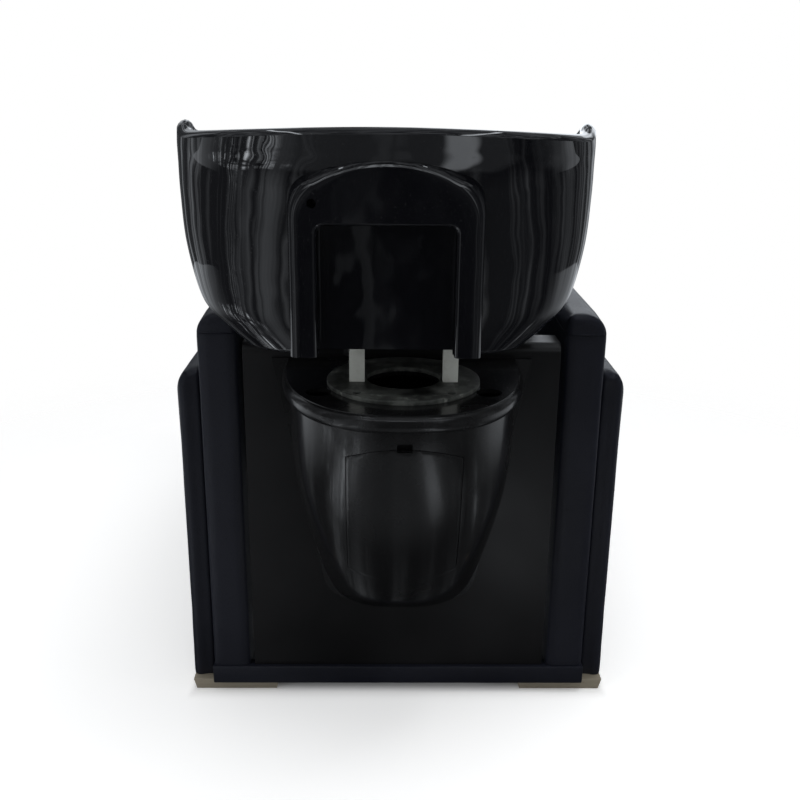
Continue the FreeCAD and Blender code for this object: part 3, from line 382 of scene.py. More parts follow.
def between(rows, parts):
    """Rows of sizes with smooth in-between rows."""
    full = []
    last = len(rows) - 1
    for k in range(last):
        a, b, c, d = (rows[max(k - 1, 0)], rows[k], rows[k + 1], rows[min(k + 2, last)])
        for step in range(parts):
            t = step / parts
            full.append([0.5 * (2 * q + (r - p) * t + (2 * p - 5 * q + 4 * r - s) * t * t
                                + (3 * q - p - 3 * r + s) * t ** 3) for p, q, r, s in zip(a, b, c, d)])
    return full + [list(rows[-1])]


def skin(name, rings):
    """Draw one closed ring, extrude it along a row of rings, and close both ends."""
    deselect()
    bpy.ops.mesh.primitive_circle_add(vertices=len(rings[0]), radius=1.0)
    piece = added(name)
    edit(piece)
    mesh = bmesh.from_edit_mesh(piece.data)
    column = mesh.verts.layers.int.new("column")
    for i, vert in enumerate(mesh.verts):
        vert[column] = i
        vert.co = rings[0][i]
    bpy.ops.mesh.edge_face_add()
    bpy.ops.mesh.select_mode(type="EDGE")
    for ring in rings[1:]:
        bpy.ops.mesh.extrude_edges_indiv()
        mesh = bmesh.from_edit_mesh(piece.data)
        column = mesh.verts.layers.int["column"]
        for vert in mesh.verts:
            if vert.select:
                vert.co = ring[vert[column]]
    bpy.ops.mesh.edge_face_add()
    bpy.ops.mesh.select_mode(type="VERT")
    bpy.ops.mesh.select_all(action="SELECT")
    bpy.ops.mesh.normals_make_consistent(inside=False)
    mesh = bmesh.from_edit_mesh(piece.data)
    mesh.verts.layers.int.remove(mesh.verts.layers.int["column"])
    deselect()
    return piece


def rounded_outline(corners, steps=8):
    """Corners (x, z, radius) of a closed outline, each turned into an arc."""
    line = []
    count = len(corners)
    for i, (x, z, radius) in enumerate(corners):
        here = Vector((x, z))
        back = (Vector(corners[i - 1][:2]) - here).normalized()
        on = (Vector(corners[(i + 1) % count][:2]) - here).normalized()
        half = back.angle(on) / 2
        if radius <= 0 or half > math.pi / 2 - 0.01:
            line.append(here)
            continue
        centre = here + (back + on).normalized() * (radius / math.sin(half))
        start = here + back * (radius / math.tan(half)) - centre
        stop = here + on * (radius / math.tan(half)) - centre
        sweep = start.angle_signed(stop)
        for k in range(steps + 1):
            turn = Matrix.Rotation(-sweep * k / steps, 2)
            line.append(centre + turn @ start)
    return line


def block(name, low, high, bevel=0.0, steps=4):
    """A box between two corners, with rounded edges where a width is given."""
    deselect()
    bpy.ops.mesh.primitive_cube_add(size=1.0)
    piece = added(name)
    edit(piece)
    low, high = Vector(low), Vector(high)
    bpy.ops.transform.resize(value=high - low)
    bpy.ops.transform.translate(value=(low + high) / 2)
    if bevel:
        bpy.ops.mesh.bevel(offset=bevel, segments=steps, affect="EDGES")
    deselect()
    return piece


def round_edges(piece, axis, place, width, steps, only=None):
    """Round the edges of a piece that lie at one place along an axis, or only some of them."""
    edit(piece)
    bpy.ops.mesh.select_mode(type="EDGE")
    bpy.ops.mesh.select_all(action="DESELECT")
    mesh = bmesh.from_edit_mesh(piece.data)
    for edge in mesh.edges:
        edge.select = all(abs(vert.co[axis] - place) < SAME_PLACE and (not only or only(vert.co))
                          for vert in edge.verts)
    bmesh.update_edit_mesh(piece.data)
    bpy.ops.mesh.bevel(offset=width, segments=steps, affect="EDGES")
    deselect()


def rod(name, start, stop, radius, sides=48):
    """A round tool between two points."""
    start, stop = Vector(start), Vector(stop)
    deselect()
    bpy.ops.mesh.primitive_cylinder_add(vertices=sides, radius=radius, depth=(stop - start).length)
    piece = added(name)
    turn = (stop - start).to_track_quat("Z", "Y").to_matrix().to_4x4()
    piece.data.transform(Matrix.Translation((start + stop) / 2) @ turn)
    return piece


# Bowl

BOWL_X = -0.025
BOWL_REAR, BOWL_FRONT = -0.620, -0.090
BOWL_EDGE, BOWL_RIM, BOWL_WALL = 0.669, 0.942, 0.012
APRON_SQUARE = (4.0, 2.8)
BOWL_SHOULDER, BOWL_TOP, BOWL_HALF = 0.870, 0.975, 0.277
EAR_Y, EAR_RISE, EAR_LENGTH = -0.442, 0.012, 0.044
# the ear starts at this share of the half width and is full after this much more
EAR_START, EAR_GROWTH = 0.78, 0.14
RIM_ROLL, RIM_CROWN, RIM_FRONT_FALL = 0.0075, 0.014, 0.030
NECK_RADIUS, NECK_DEPTH = 0.105, 0.050
NECK_Z = BOWL_RIM - RIM_FRONT_FALL - NECK_DEPTH + NECK_RADIUS
ARCH_PEAK, ARCH_CROWN_RADIUS, ARCH_CORNER = 0.0196, 0.18, 0.046
NICHE_HALF, NICHE_TOP, NICHE_CORNER = 0.084, 0.829, 0.010
DRAIN_Y, DRAIN_RADIUS = -0.446, 0.022
ANCHOR_X, ANCHOR_Z, ANCHOR_RADIUS = BOWL_X - 0.088, 0.855, 0.0055
HOLLOW_TOP, UNDERSIDE_TOP = 0.846, 0.842
BOWL_SIDES, RING_POINTS = 208, 720
# height, half width, rear draw, front draw
APRON = ((0.669, 0.192, 0.040, 0.150), (0.691, 0.222, 0.041, 0.112), (0.719, 0.249, 0.041, 0.080),
         (0.785, 0.269, 0.038, 0.036), (0.850, 0.276, 0.032, 0.012), (0.895, 0.277, 0.023, 0.006),
         (0.922, 0.2765, 0.0105, 0.003), (0.942, 0.275, 0.000, 0.000))
BASIN = ((0.681, 0.098, 0.140, 0.270), (0.728, 0.186, 0.132, 0.175), (0.800, 0.238, 0.096, 0.066),
         (0.880, 0.258, 0.058, 0.027), (0.912, 0.260, 0.046, 0.020), (0.942, 0.256, 0.020, 0.016))


def rim_height(x, y):
    """Height of the rim over one point: crowned behind, an ear on each side, lower at the neck."""
    off = abs(x - BOWL_X) / BOWL_HALF
    outward = min(max((off - EAR_START) / EAR_GROWTH, 0.0), 1.0)
    forward = min(max((y - EAR_Y) / (BOWL_FRONT - EAR_Y), 0.0), 1.0)
    ear = EAR_RISE * math.exp(-((y - EAR_Y) / EAR_LENGTH) ** 2) * outward
    return BOWL_RIM - RIM_CROWN * off * off + ear - RIM_FRONT_FALL * forward * forward * (3 - 2 * forward)


def bowl_ring(row, wall=0.0, lift=0.0):
    """One level of the bowl; from the shoulder up, the ring follows the rim."""
    level, half, rear, front = row
    rise = (level - BOWL_EDGE) / (BOWL_TOP - BOWL_EDGE)
    power = 2 / (APRON_SQUARE[0] + (APRON_SQUARE[1] - APRON_SQUARE[0]) * rise)
    low, high = BOWL_REAR + rear + wall, BOWL_FRONT - front - wall
    points = []
    for i in range(RING_POINTS):
        a = 2 * math.pi * i / RING_POINTS
        across = math.copysign(abs(math.cos(a)) ** power, math.cos(a))
        along = math.copysign(abs(math.sin(a)) ** power, math.sin(a))
        x = BOWL_X + (half - wall) * across
        points.append(Vector((x, (low + high) / 2 + (high - low) / 2 * along, level)))
    ring = evenly(points, BOWL_SIDES)
    for point in ring:
        if level > BOWL_SHOULDER:
            share = (level - BOWL_SHOULDER) / (BOWL_RIM - BOWL_SHOULDER)
            point.z = BOWL_SHOULDER + share * (rim_height(point.x, point.y) - RIM_ROLL - BOWL_SHOULDER)
        point.z += lift
    return ring


def arch_outline(half, shoulder, crown):
    """The arched boss seen from behind."""
    left, right = BOWL_X - half, BOWL_X + half
    return rounded_outline([(left, BOWL_EDGE, 0.0), (left, shoulder, ARCH_CORNER),
                            (BOWL_X, crown + ARCH_PEAK, ARCH_CROWN_RADIUS),
                            (right, shoulder, ARCH_CORNER), (right, BOWL_EDGE, 0.0)], 28)


def arch_boss():
    """The proud arch behind the bowl: soft edges, its top faired back into the wall."""
    # depth, half width, shoulder height, crown height
    steps = ((-0.566, 0.1175, 0.884, 0.932), (-0.586, 0.1175, 0.880, 0.926), (-0.592, 0.1175, 0.876, 0.917),
             (-0.598, 0.1170, 0.872, 0.909), (-0.6025, 0.1150, 0.868, 0.903), (-0.6052, 0.1120, 0.864, 0.898),
             (-0.606, 0.1080, 0.860, 0.893))
    rings = [[Vector((x, y, z)) for x, z in arch_outline(half, shoulder, crown)]
             for y, half, shoulder, crown in steps]
    # strips round the flat face, drawn in towards a point so that they never fold
    heart = Vector((BOWL_X, steps[-1][0], BOWL_EDGE + 0.01))
    for share in (0.95, 0.885):
        rings.append([heart + (point - heart) * share for point in rings[len(steps) - 1]])
    return skin("arch_boss", rings)


def niche_tool(name, grow, front, back, flare):
    """The niche behind the bowl, as a block that opens towards the viewer and downwards."""
    def ring(y, more):
        half, top = NICHE_HALF + grow + more, NICHE_TOP + grow + more
        foot = BOWL_EDGE - (0.0 if grow else 0.02)
        left, right = BOWL_X - half, BOWL_X + half
        outline = rounded_outline([(left, foot, 0.0), (left, top, NICHE_CORNER),
                                   (right, top, NICHE_CORNER), (right, foot, 0.0)])
        return evenly([Vector((x, y, z)) for x, z in outline], 120)
    steps = [(front, 0.0), (back, 0.0)]
    if flare:
        steps = [(front, flare), (front + 0.006, flare), (front + 0.0075, flare * 0.4),
                 (front + 0.011, 0.0), (back, 0.0)]
    return skin(name, [ring(y, more) for y, more in steps])


def make_bowl():
    outside = between(APRON, 10)
    inside = between(BASIN, 10)
    rings = [bowl_ring(row) for row in inside]
    # over the rim, then down the apron
    for share, rise in ((0.08, 0.4), (0.25, 0.8), (0.5, 1.0), (0.75, 0.8), (0.92, 0.4)):
        over = [i + (o - i) * share for i, o in zip(inside[-1], outside[-1])]
        rings.append(bowl_ring(over, lift=rise * RIM_ROLL))
    rings += [bowl_ring(row) for row in reversed(outside)]
    # round the lower edge, up the hollow and down the basin's underside
    for share, drop in ((0.12, 0.0025), (0.35, 0.004), (0.65, 0.004), (0.88, 0.0025)):
        rings.append(bowl_ring(outside[0], wall=BOWL_WALL * share, lift=-drop))
    rings += [bowl_ring(row, wall=BOWL_WALL) for row in outside if row[0] < HOLLOW_TOP]
    under = [row for row in inside if row[0] < UNDERSIDE_TOP]
    rings += [bowl_ring(row, wall=-BOWL_WALL) for row in reversed(under[1:])]
    rings.append(bowl_ring(under[0], wall=-BOWL_WALL, lift=-BOWL_WALL))
    bowl = skin("glazed_bowl", rings)
    cut(bowl, arch_boss(), "UNION")
    cut(bowl, niche_tool("niche_case", 0.008, -0.600, -0.556, 0.0), "UNION")
    cut(bowl, niche_tool("niche", 0.0, -0.612, -0.564, 0.004))
    cut(bowl, rod("drain_hole", (BOWL_X, DRAIN_Y, 0.60), (BOWL_X, DRAIN_Y, 0.70), DRAIN_RADIUS))
    cut(bowl, rod("anchor_hole", (ANCHOR_X, -0.65, ANCHOR_Z), (ANCHOR_X, -0.55, ANCHOR_Z), ANCHOR_RADIUS, 32))
    cut(bowl, rod("neck_cut", (BOWL_X, -0.20, NECK_Z), (BOWL_X, -0.03, NECK_Z), NECK_RADIUS, 128))
    smooth(bowl, 38)
    apply(bowl, "WEIGHTED_NORMAL", keep_sharp=True, weight=100)
    finished(bowl, "bowl", "bowl_glaze", "bowl")


def neck_rest():
    """A soft rubber channel clipped over the neck notch."""
    y_in, y_out, lip = -0.146, -0.084, 0.006
    inner, outer, grip = 0.093, 0.1047, 0.118
    top_round, lip_round, root_round = 0.004, 0.0028, 0.001
    end_z, steps = 0.906, 32
    profile = rounded_outline([(y_in, inner, top_round), (y_out, inner, top_round), (y_out, grip, lip_round),
                               (y_out - lip, grip, lip_round), (y_out - lip, outer, root_round),
                               (y_in + lip, outer, root_round), (y_in + lip, grip, lip_round),
                               (y_in, grip, lip_round)], 5)
    rings = []
    for step in range(-steps, steps + 1):
        ring = []
        for y, radius in profile:
            turn = step / steps * math.acos((NECK_Z - end_z) / radius)
            ring.append(Vector((BOWL_X + radius * math.sin(turn), y, NECK_Z - radius * math.cos(turn))))
        rings.append(ring)
    piece = skin("neck_rest_pad", rings)
    round_edges(piece, 2, end_z, 0.002, 3)
    smooth(piece, 50)
    finished(piece, "bowl", "black_rubber", "neck_rest")


# Upholstery

ARM_IN, ARM_OUT, SIDE_OUT = 0.249, 0.313, 0.353
ARM_REAR, ARM_FRONT = -0.330, 0.620
RAIL_TOP, ARM_TOP, CAP_TOP = 0.050, 0.628, 0.660
BOARD_TOP = 0.318
COVER_INSET, CUSHION_HALF, CUSHION_ROUND = 0.0015, 0.246, 0.022
BACK_LEAN, BACK_FOOT_Y = 20, 0.108
SWELL_STEPS, SWELL_PRESSURE = 20, 4.0
WELT_POINTS, COVER_ANGLE = 260, 70
# the arms' covers are made this much too long, and cut off where they meet
OVERLAP = 0.012


def held(low, high):
    """A rule that keeps points between two corners."""
    low, high = Vector(low), Vector(high)
    return lambda p: Vector([min(max(value, a), b) for value, a, b in zip(p, low, high)])


def stuffed(piece, voxel, cap, hold):
    """Swell a cover with a short cloth run, each point held within a cap and inside its place."""
    apply(piece, "REMESH", mode="VOXEL", voxel_size=voxel)
    rest = [vert.co.copy() for vert in piece.data.vertices]
    cloth = piece.modifiers.new("swell", "CLOTH")
    cloth.settings.use_pressure = True
    cloth.settings.uniform_pressure_force = SWELL_PRESSURE
    cloth.settings.effector_weights.gravity = 0.0
    cloth.point_cache.frame_start = 1
    cloth.point_cache.frame_end = SWELL_STEPS
    for step in range(1, SWELL_STEPS + 1):
        scene.frame_set(step)
    pick(piece)
    bpy.ops.object.modifier_apply(modifier="swell")
    scene.frame_set(1)
    for vert, start in zip(piece.data.vertices, rest):
        move = vert.co - start
        if move.length > cap:
            vert.co = start + move * (cap / move.length)
        vert.co = hold(vert.co)
    apply(piece, "SUBSURF", levels=1, render_levels=1)
    smooth(piece, COVER_ANGLE)


def welt(piece, corners, radius, rounding, plane):
    """A sewn piping on a piece's skin, along a rounded outline in one plane."""
    tree = BVHTree.FromPolygons([vert.co for vert in piece.data.vertices],
                                [face.vertices for face in piece.data.polygons])
    outline = rounded_outline([(a, b, rounding) for a, b in corners])
    path = evenly([plane(a, b) for a, b in outline], WELT_POINTS)
    spots = []
    for point in path:
        place, normal = tree.find_nearest(point)[:2]
        spots.append(place + normal * radius * 0.3)
    for sweep in range(3):
        spots = [(spots[i - 1] + spots[i] * 2 + spots[(i + 1) % WELT_POINTS]) / 4 for i in range(WELT_POINTS)]
    line = bpy.data.curves.new("welt", "CURVE")
    line.dimensions = "3D"
    line.bevel_depth = radius
    line.bevel_resolution = 2
    spline = line.splines.new("POLY")
    spline.points.add(len(spots) - 1)
    for slot_point, spot in zip(spline.points, spots):
        slot_point.co = (*spot, 1.0)
    spline.use_cyclic_u = True
    cord = bpy.data.objects.new("welt", line)
    scene.collection.objects.link(cord)
    pick(cord)
    bpy.ops.object.convert(target="MESH")
    piece.select_set(True)
    bpy.context.view_layer.objects.active = piece
    bpy.ops.object.join()
    return smooth(piece, COVER_ANGLE)


def mirrored(piece, name):
    """The same piece for the other side."""
    twin = piece.copy()
    twin.data = piece.data.copy()
    twin.name = name
    scene.collection.objects.link(twin)
    twin.data.transform(Matrix.Scale(-1, 4, (1, 0, 0)))
    edit(twin)
    bpy.ops.mesh.normals_make_consistent(inside=False)
    deselect()
    return smooth(twin, COVER_ANGLE)


def padded_pair(name, node, make):
    """Make a soft piece for the right side and its twin for the left."""
    right = make(f"right_{name}")
    left = mirrored(right, f"left_{name}")
    for side, piece in (("left", left), ("right", right)):
        finished(piece, "unit", "leatherette", f"{side}_{node}")


def trimmed(piece, height):
    """Cut a cover off flat at the height it rests on."""
    edit(piece)
    bpy.ops.mesh.bisect(plane_co=(0, 0, height), plane_no=(0, 0, 1), clear_inner=True, use_fill=True)
    deselect()
    return piece


def arm_cover(name):
    """An arm's body, cut flat where it stands on the rail; its cap hides the top."""
    piece = block(name, (ARM_IN + COVER_INSET, ARM_REAR + COVER_INSET, RAIL_TOP - 0.02),
                  (ARM_OUT - COVER_INSET, ARM_FRONT - COVER_INSET, ARM_TOP + OVERLAP), 0.008, 4)
    stuffed(piece, 0.0072, 0.0025, held((ARM_IN, ARM_REAR, 0), (ARM_OUT - 0.0003, ARM_FRONT, ARM_TOP)))
    return trimmed(piece, RAIL_TOP)


def arm_cap(name):
    """The sewn cap of an arm, with piping where it meets the body."""
    low = (ARM_IN + COVER_INSET, ARM_REAR + COVER_INSET, ARM_TOP - OVERLAP)
    high = (ARM_OUT - COVER_INSET, ARM_FRONT - COVER_INSET, CAP_TOP - 0.001)
    outer_round, small_round = 0.036, 0.009
    piece = block(name, low, high)
    # one big round to the outside, small ones at the ends and towards the seat
    round_edges(piece, 2, high[2], outer_round, 12, lambda spot: abs(spot.x - high[0]) < SAME_PLACE)
    round_edges(piece, 1, low[1], small_round, 5)
    round_edges(piece, 1, high[1], small_round, 5)
    round_edges(piece, 2, high[2], small_round, 5, lambda spot: abs(spot.x - low[0]) < SAME_PLACE)
    stuffed(piece, 0.004, 0.003, held((ARM_IN - 0.0008, ARM_REAR - 0.0008, 0),
                                      (ARM_OUT + 0.0004, ARM_FRONT + 0.0008, CAP_TOP)))
    trimmed(piece, ARM_TOP + 0.0004)
    return welt(piece, [(ARM_IN, ARM_REAR), (ARM_OUT, ARM_REAR), (ARM_OUT, ARM_FRONT), (ARM_IN, ARM_FRONT)],
                0.0010, 0.006, lambda a, b: Vector((a, b, ARM_TOP + 0.0012)))


def side_panel(name):
    """An outer side panel, its top falling away to the outside."""
    inset, top, foot = 0.002, 0.572, 0.018
    rear, front = -0.306, 0.596
    slope_foot, slope_fall = 0.50, 0.030
    piece = block(name, (ARM_OUT + 0.0004, rear + inset, -0.002),
                  (SIDE_OUT - inset, front - inset, top - inset), 0.001, 1)
    round_edges(piece, 0, SIDE_OUT - inset, 0.014, 5)
    round_edges(piece, 2, top - inset, 0.012, 5)
    edit(piece)
    mesh = bmesh.from_edit_mesh(piece.data)
    for vert in mesh.verts:
        across = max(vert.co.x - ARM_OUT, 0.0) / (SIDE_OUT - ARM_OUT)
        above = max(vert.co.z - slope_foot, 0.0) / (top - slope_foot)
        vert.co.z -= slope_fall * above * across ** 2.2
    bmesh.update_edit_mesh(piece.data)
    deselect()
    stuffed(piece, 0.0072, 0.003, held((ARM_OUT + 0.0003, rear - 0.001, 0),
                                       (SIDE_OUT, front + 0.001, top + 0.001)))
    return trimmed(piece, foot)


def seat_cushion():
    half, rear, front, top = CUSHION_HALF, 0.220, 0.620, 0.448
    inset = 0.014
    piece = block("padded_seat", (-half + inset, rear + inset, BOARD_TOP + 0.001),
                  (half - inset, front - inset, top - inset), CUSHION_ROUND, 4)
    stuffed(piece, 0.0075, 0.024, held((-half, rear, BOARD_TOP + 0.0005), (half, front, top + 0.004)))
    for height in (BOARD_TOP + 0.012, top - 0.020):
        welt(piece, [(-half, rear), (half, rear), (half, front), (-half, front)], 0.003, 0.03,
             lambda a, b: Vector((a, b, height)))
    finished(piece, "unit", "leatherette", "seat_cushion")


def back_cushion():
    """The back is made upright, then leant back about the seat's rear."""
    half, rear, front, foot, top = CUSHION_HALF, 0.0183, 0.108, 0.030, 0.515
    inset = 0.012
    piece = block("padded_back", (-half + inset, rear + 0.001, foot + inset),
                  (half - inset, front - inset, top - inset), CUSHION_ROUND, 4)
    stuffed(piece, 0.0075, 0.022, held((-half, rear, foot), (half, front + 0.004, top)))
    welt(piece, [(-half, foot), (half, foot), (half, top), (-half, top)], 0.003, 0.03,
         lambda a, b: Vector((a, front - 0.022, b)))
    lean = Matrix.Rotation(math.radians(BACK_LEAN), 4, "X")
    piece.data.transform(Matrix.Translation((0, BACK_FOOT_Y, BOARD_TOP)) @ lean)
    finished(piece, "unit", "leatherette", "back_cushion")


def front_panel():
    half, inset = 0.2487, 0.002
    piece = block("padded_front", (-half + inset, 0.600, RAIL_TOP),
                  (half - inset, 0.618, BOARD_TOP - 0.001), 0.005, 3)
    stuffed(piece, 0.008, 0.003, held((-half, 0.598, RAIL_TOP), (half, 0.6215, BOARD_TOP)))
    finished(piece, "unit", "leatherette", "front_panel")


def softened(node, width, steps=2, flat=True):
    """A copy of a rigid solid with its sharp edges eased; a flat-sided one first loses its spare edges."""
    solid = nodes[node]
    piece = solid.copy()
    piece.data = solid.data.copy()
    piece.name = f"eased_{node}"
    for key in list(piece.keys()):
        del piece[key]
    piece.parent = None
    scene.collection.objects.link(piece)
    edit(piece)
    bpy.ops.mesh.remove_doubles(threshold=1e-6)
    if flat:
        bpy.ops.mesh.dissolve_limited(angle_limit=math.radians(1))
    deselect()
    apply(piece, "BEVEL", width=width, segments=steps, limit_method="ANGLE", angle_limit=math.radians(40))
    smooth(piece, 35)
    return finished(piece, BODY[node], SLOT[node], node)


make_bowl()
neck_rest()
padded_pair("padded_arm", "arm_cover", arm_cover)
padded_pair("padded_cap", "arm_cap", arm_cap)
padded_pair("padded_side", "side_panel", side_panel)
seat_cushion()
back_cushion()
front_panel()
FEET = ("rear_left_foot", "rear_right_foot", "front_left_foot", "front_right_foot")
RAILS = ("rear_plinth_rail", "front_plinth_rail", "left_plinth_rail", "right_plinth_rail")
POSTS = ("left_tilt_post", "right_tilt_post")
for width, solids in ((0.0010, FEET), (0.0020, RAILS), (0.0012, POSTS), (0.0008, ("deck_gasket",))):
    for solid in solids:
        softened(solid, width)
softened("access_hatch", 0.0010, flat=False)
# the boards show only as covered ones
for board, name in (("back_board", "back_cover"), ("seat_board", "seat_cover")):
    cover = softened(board, 0.003)
    cover.name = name
    cover.data.materials[0] = PAINT["leatherette"]


# Floor, lamps and camera

FLOOR_GLOW = 0.40
UNIT_MIDDLE_Y = 0.145
# the place under the unit where the floor's glow is left out as painted shade, half its width and length, and
# the floor's reach: start and end of each fade
UNDER_WIDTH, UNDER_LENGTH, FLOOR_REACH = (0.335, 0.36), (0.44, 0.50), (0.9, 1.9)
BOOTH_RADIUS, BOOTH_DEPTH = 3.4, 3.8
BOOTH_LIMIT = 6.0


def studio_floor():
    """A pale floor that keeps the shadow, has painted shade under the unit where its glow is left out, and
    fades into the white around it.
    """
    deselect()
    bpy.ops.mesh.primitive_circle_add(vertices=96, radius=4.0, fill_type="NGON", location=(0, 0, -0.0005))
    floor = added("studio_floor")
    f = Finish("studio_floor", Base_Color=rgb(0.92, 0.92, 0.92), Roughness=0.9, Specular_IOR_Level=0.1)
    across, along = f.axes("XY")
    # no glow inside the unit's footprint: painted shade where the unit shades the floor
    beside = f.ramp(f.unsigned(across), *UNDER_WIDTH)
    beyond = f.ramp(f.unsigned(along - UNIT_MIDDLE_Y), *UNDER_LENGTH)
    seen = f.node("ShaderNodeLightPath", out="Is Camera Ray") * f.sum("MAXIMUM", beside, beyond)
    f.set(Emission_Color=f.mix(seen, rgb(0, 0, 0), rgb(FLOOR_GLOW, FLOOR_GLOW, FLOOR_GLOW)),
          Emission_Strength=1.0)
    clear = f.node("ShaderNodeBsdfTransparent", Color=rgb(1, 1, 1))
    faded = f.ramp(f.length(f.place), *FLOOR_REACH)
    blend = f.node("ShaderNodeMixShader", i0=faded, i1=Wire(f, f.shader.outputs[0]), i2=clear)
    f.plug(f.tree.nodes["Material Output"].inputs["Surface"], blend)
    floor.data.materials.append(f.material)
    floor.visible_glossy = False


def studio_world(strength):
    """Soft even light; the camera, and whatever reflects or lets light through, sees plain white."""
    world = bpy.data.worlds.new("studio")
    scene.world = world
    world.use_nodes = True
    tree = world.node_tree
    path = tree.nodes.new("ShaderNodeLightPath")
    seen = path.outputs["Is Camera Ray"]
    for kind in ("Is Glossy Ray", "Is Transmission Ray"):
        either = tree.nodes.new("ShaderNodeMath")
        either.operation = "MAXIMUM"
        tree.links.new(seen, either.inputs[0])
        tree.links.new(path.outputs[kind], either.inputs[1])
        seen = either.outputs[0]
    white = tree.nodes.new("ShaderNodeBackground")
    white.inputs["Strength"].default_value = 1.0
    white.inputs["Color"].default_value = rgb(1, 1, 1)
    soft = tree.nodes["Background"]
    soft.inputs["Strength"].default_value = strength
    soft.inputs["Color"].default_value = rgb(0.96, 0.98, 1.0)
    blend = tree.nodes.new("ShaderNodeMixShader")
    tree.links.new(seen, blend.inputs[0])
    tree.links.new(soft.outputs[0], blend.inputs[1])
    tree.links.new(white.outputs[0], blend.inputs[2])
    tree.links.new(blend.outputs[0], tree.nodes["World Output"].inputs["Surface"])


def aim(thing, target):
    """Turn a lamp so that its -Z side faces a point."""
    thing.rotation_euler = (Vector(target) - thing.location).to_track_quat("-Z", "Y").to_euler()


def lamp(name, place, target, width, height, power):
    """A softbox that lights the unit but isn't mirrored in it."""
    deselect()
    bpy.ops.object.light_add(type="AREA", location=place)
    made = added(name)
    made.data.shape = "RECTANGLE"
    made.data.size = width
    made.data.size_y = height
    made.data.energy = power
    made.visible_glossy = False
    aim(made, target)


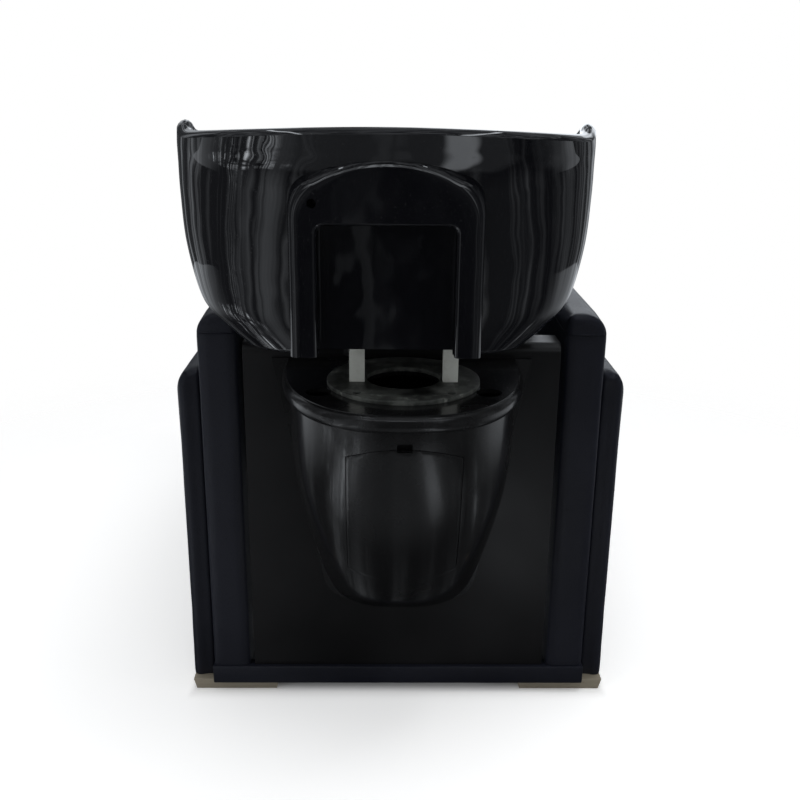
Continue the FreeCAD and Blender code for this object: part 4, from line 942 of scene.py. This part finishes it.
def booth():
    """A dim round booth that only reflections see: gloss black reads black, with the room's lights in it."""
    deselect()
    bpy.ops.mesh.primitive_cylinder_add(vertices=96, radius=BOOTH_RADIUS, depth=BOOTH_DEPTH,
                                        location=(0, 0, 1.8))
    wall = added("studio_booth")
    wall.visible_camera = False
    wall.visible_diffuse = False
    wall.visible_shadow = False
    wall.visible_transmission = False
    f = Finish("studio_booth", Base_Color=rgb(0, 0, 0), Specular_IOR_Level=0.0)
    across, along, above = f.axes("XYZ")
    bearing = f.sum("ARCTAN2", along, across) * (180 / math.pi)
    end = BOOTH_DEPTH / 2 - 0.005
    ground = f.sum("LESS_THAN", above, -end)
    ceiling = f.sum("GREATER_THAN", above, end)

    def near(value, middle, half, soft):
        """One close to a value, fading to nought away from it."""
        return f.ramp(f.unsigned(value - middle), half, half + soft, 1.0, 0.0)

    def pane(middle, half, low, high, soft):
        """A soft-edged patch of wall: its bearing in degrees, and from which height to which."""
        return near(bearing, middle, half, soft) * near(above, (low + high) / 2, (high - low) / 2 - 0.1, 0.2)

    # streaks run straight up the wall and on towards the middle of the floor and the ceiling
    flat = f.node("ShaderNodeCombineXYZ", X=across, Y=along, Z=0.0)
    way = f.node("ShaderNodeVectorMath", {"operation": "NORMALIZE"}, i0=flat)
    rising = f.node("ShaderNodeCombineXYZ", X=0.0, Y=0.0, Z=above * 0.12)
    upright = f.node("ShaderNodeVectorMath", {"operation": "MULTIPLY_ADD"}, i0=way,
                     i1=(BOOTH_RADIUS, BOOTH_RADIUS, BOOTH_RADIUS), i2=rising)
    streaks = f.ramp(f.noise(1.7, 4.0, 0.6, upright), 0.46, 0.66)
    fine = f.ramp(f.noise(6.0, 3.0, 0.6, upright), 0.46, 0.68)
    broken = f.ramp(f.noise(2.4, 5.0, 0.65), 0.40, 0.62)
    # the wall, dimmer straight behind the camera and on the right
    behind = near(bearing, -90, 7, 8)
    right_hand = near(bearing, -8, 26, 18)
    wall_glow = streaks * 0.55 + streaks * fine * 0.30 + 0.06
    wall_glow = wall_glow * (1.0 - behind * 0.95) * (1.0 - right_hand * 0.65)
    high_windows = pane(-90, 34, 0.6, 1.4, 8) * (fine * 1.6 + 0.5)
    far_wall = pane(72, 14, -0.9, 0.4, 8) * 1.3 + pane(108, 8, -0.5, 0.4, 8) * 0.5
    doorway = pane(-91.7, 0.9, -2.1, -1.3, 0.5) * 0.07 + pane(-88.6, 0.9, -2.1, -1.4, 0.6) * broken * 0.08
    left_window = pane(-141, 4, -2.1, -1.25, 3) * broken * fine * 1.6
    # the floor: pale to the sides, window light lying on it, and one dim patch in the middle
    pale_sides = f.ramp(f.unsigned(across), 0.9, 1.7) * f.ramp(along, -1.4, 0.3)
    panes = ((near(across, -1.35, 0.5, 0.4) * near(along, -1.0, 0.45, 0.3) * 5.0
              + near(across, 1.05, 0.3, 0.3) * near(along, -0.55, 0.2, 0.25) * 1.2) * broken * fine
             + near(across, 0.30, 0.05, 0.07) * near(along, -1.25, 0.2, 0.25) * 1.1)
    middle = near(across, 0.0, 0.6, 0.3) * near(along, -1.25, 0.3, 0.3)
    floor_glow = ground * (pale_sides * 0.45 + middle * 0.12 + panes)
    # the ceiling with its two tubes
    tubes = (near(across, -1.2, 0.05, 0.03) + near(across, 1.0, 0.05, 0.03)) * near(along, -0.6, 1.6, 0.1)
    roof_glow = ceiling * (broken * 0.4 + tubes * 4.0 + 0.08)
    inwards = ground * f.ramp(f.length(flat), 1.2, 3.2, 0.75, 0.0)
    glow = wall_glow * (1.0 - inwards) * (1.0 - ceiling) + left_window + high_windows
    glow = glow + far_wall + doorway + floor_glow + roof_glow
    f.set(Emission_Color=f.mix(glow / BOOTH_LIMIT, rgb(0, 0, 0), rgb(0.95, 1.0, 1.06)),
          Emission_Strength=BOOTH_LIMIT)
    wall.data.materials.append(f.material)


def camera():
    """The photograph's camera."""
    deselect()
    bpy.ops.object.camera_add(location=(-0.0266, -1.7555, 0.9931),
                              rotation=[math.radians(a) for a in (71.817, -0.594, -0.776)])
    eye = added("camera")
    eye.data.lens = 43.899
    eye.data.sensor_width = 36.0
    eye.data.clip_end = 50.0
    scene.camera = eye


scene.view_settings.view_transform = "Standard"
studio_floor()
studio_world(0.45)
lamp("top_softbox", (0.3, -0.6, 2.6), (0.0, -0.2, 0.5), 1.6, 1.2, 24.0)
lamp("left_softbox", (-2.2, -1.5, 1.3), (0.0, -0.2, 0.7), 0.8, 2.2, 18.0)
lamp("right_softbox", (2.3, -1.0, 1.3), (0.0, -0.2, 0.7), 0.4, 2.4, 12.0)
booth()
camera()
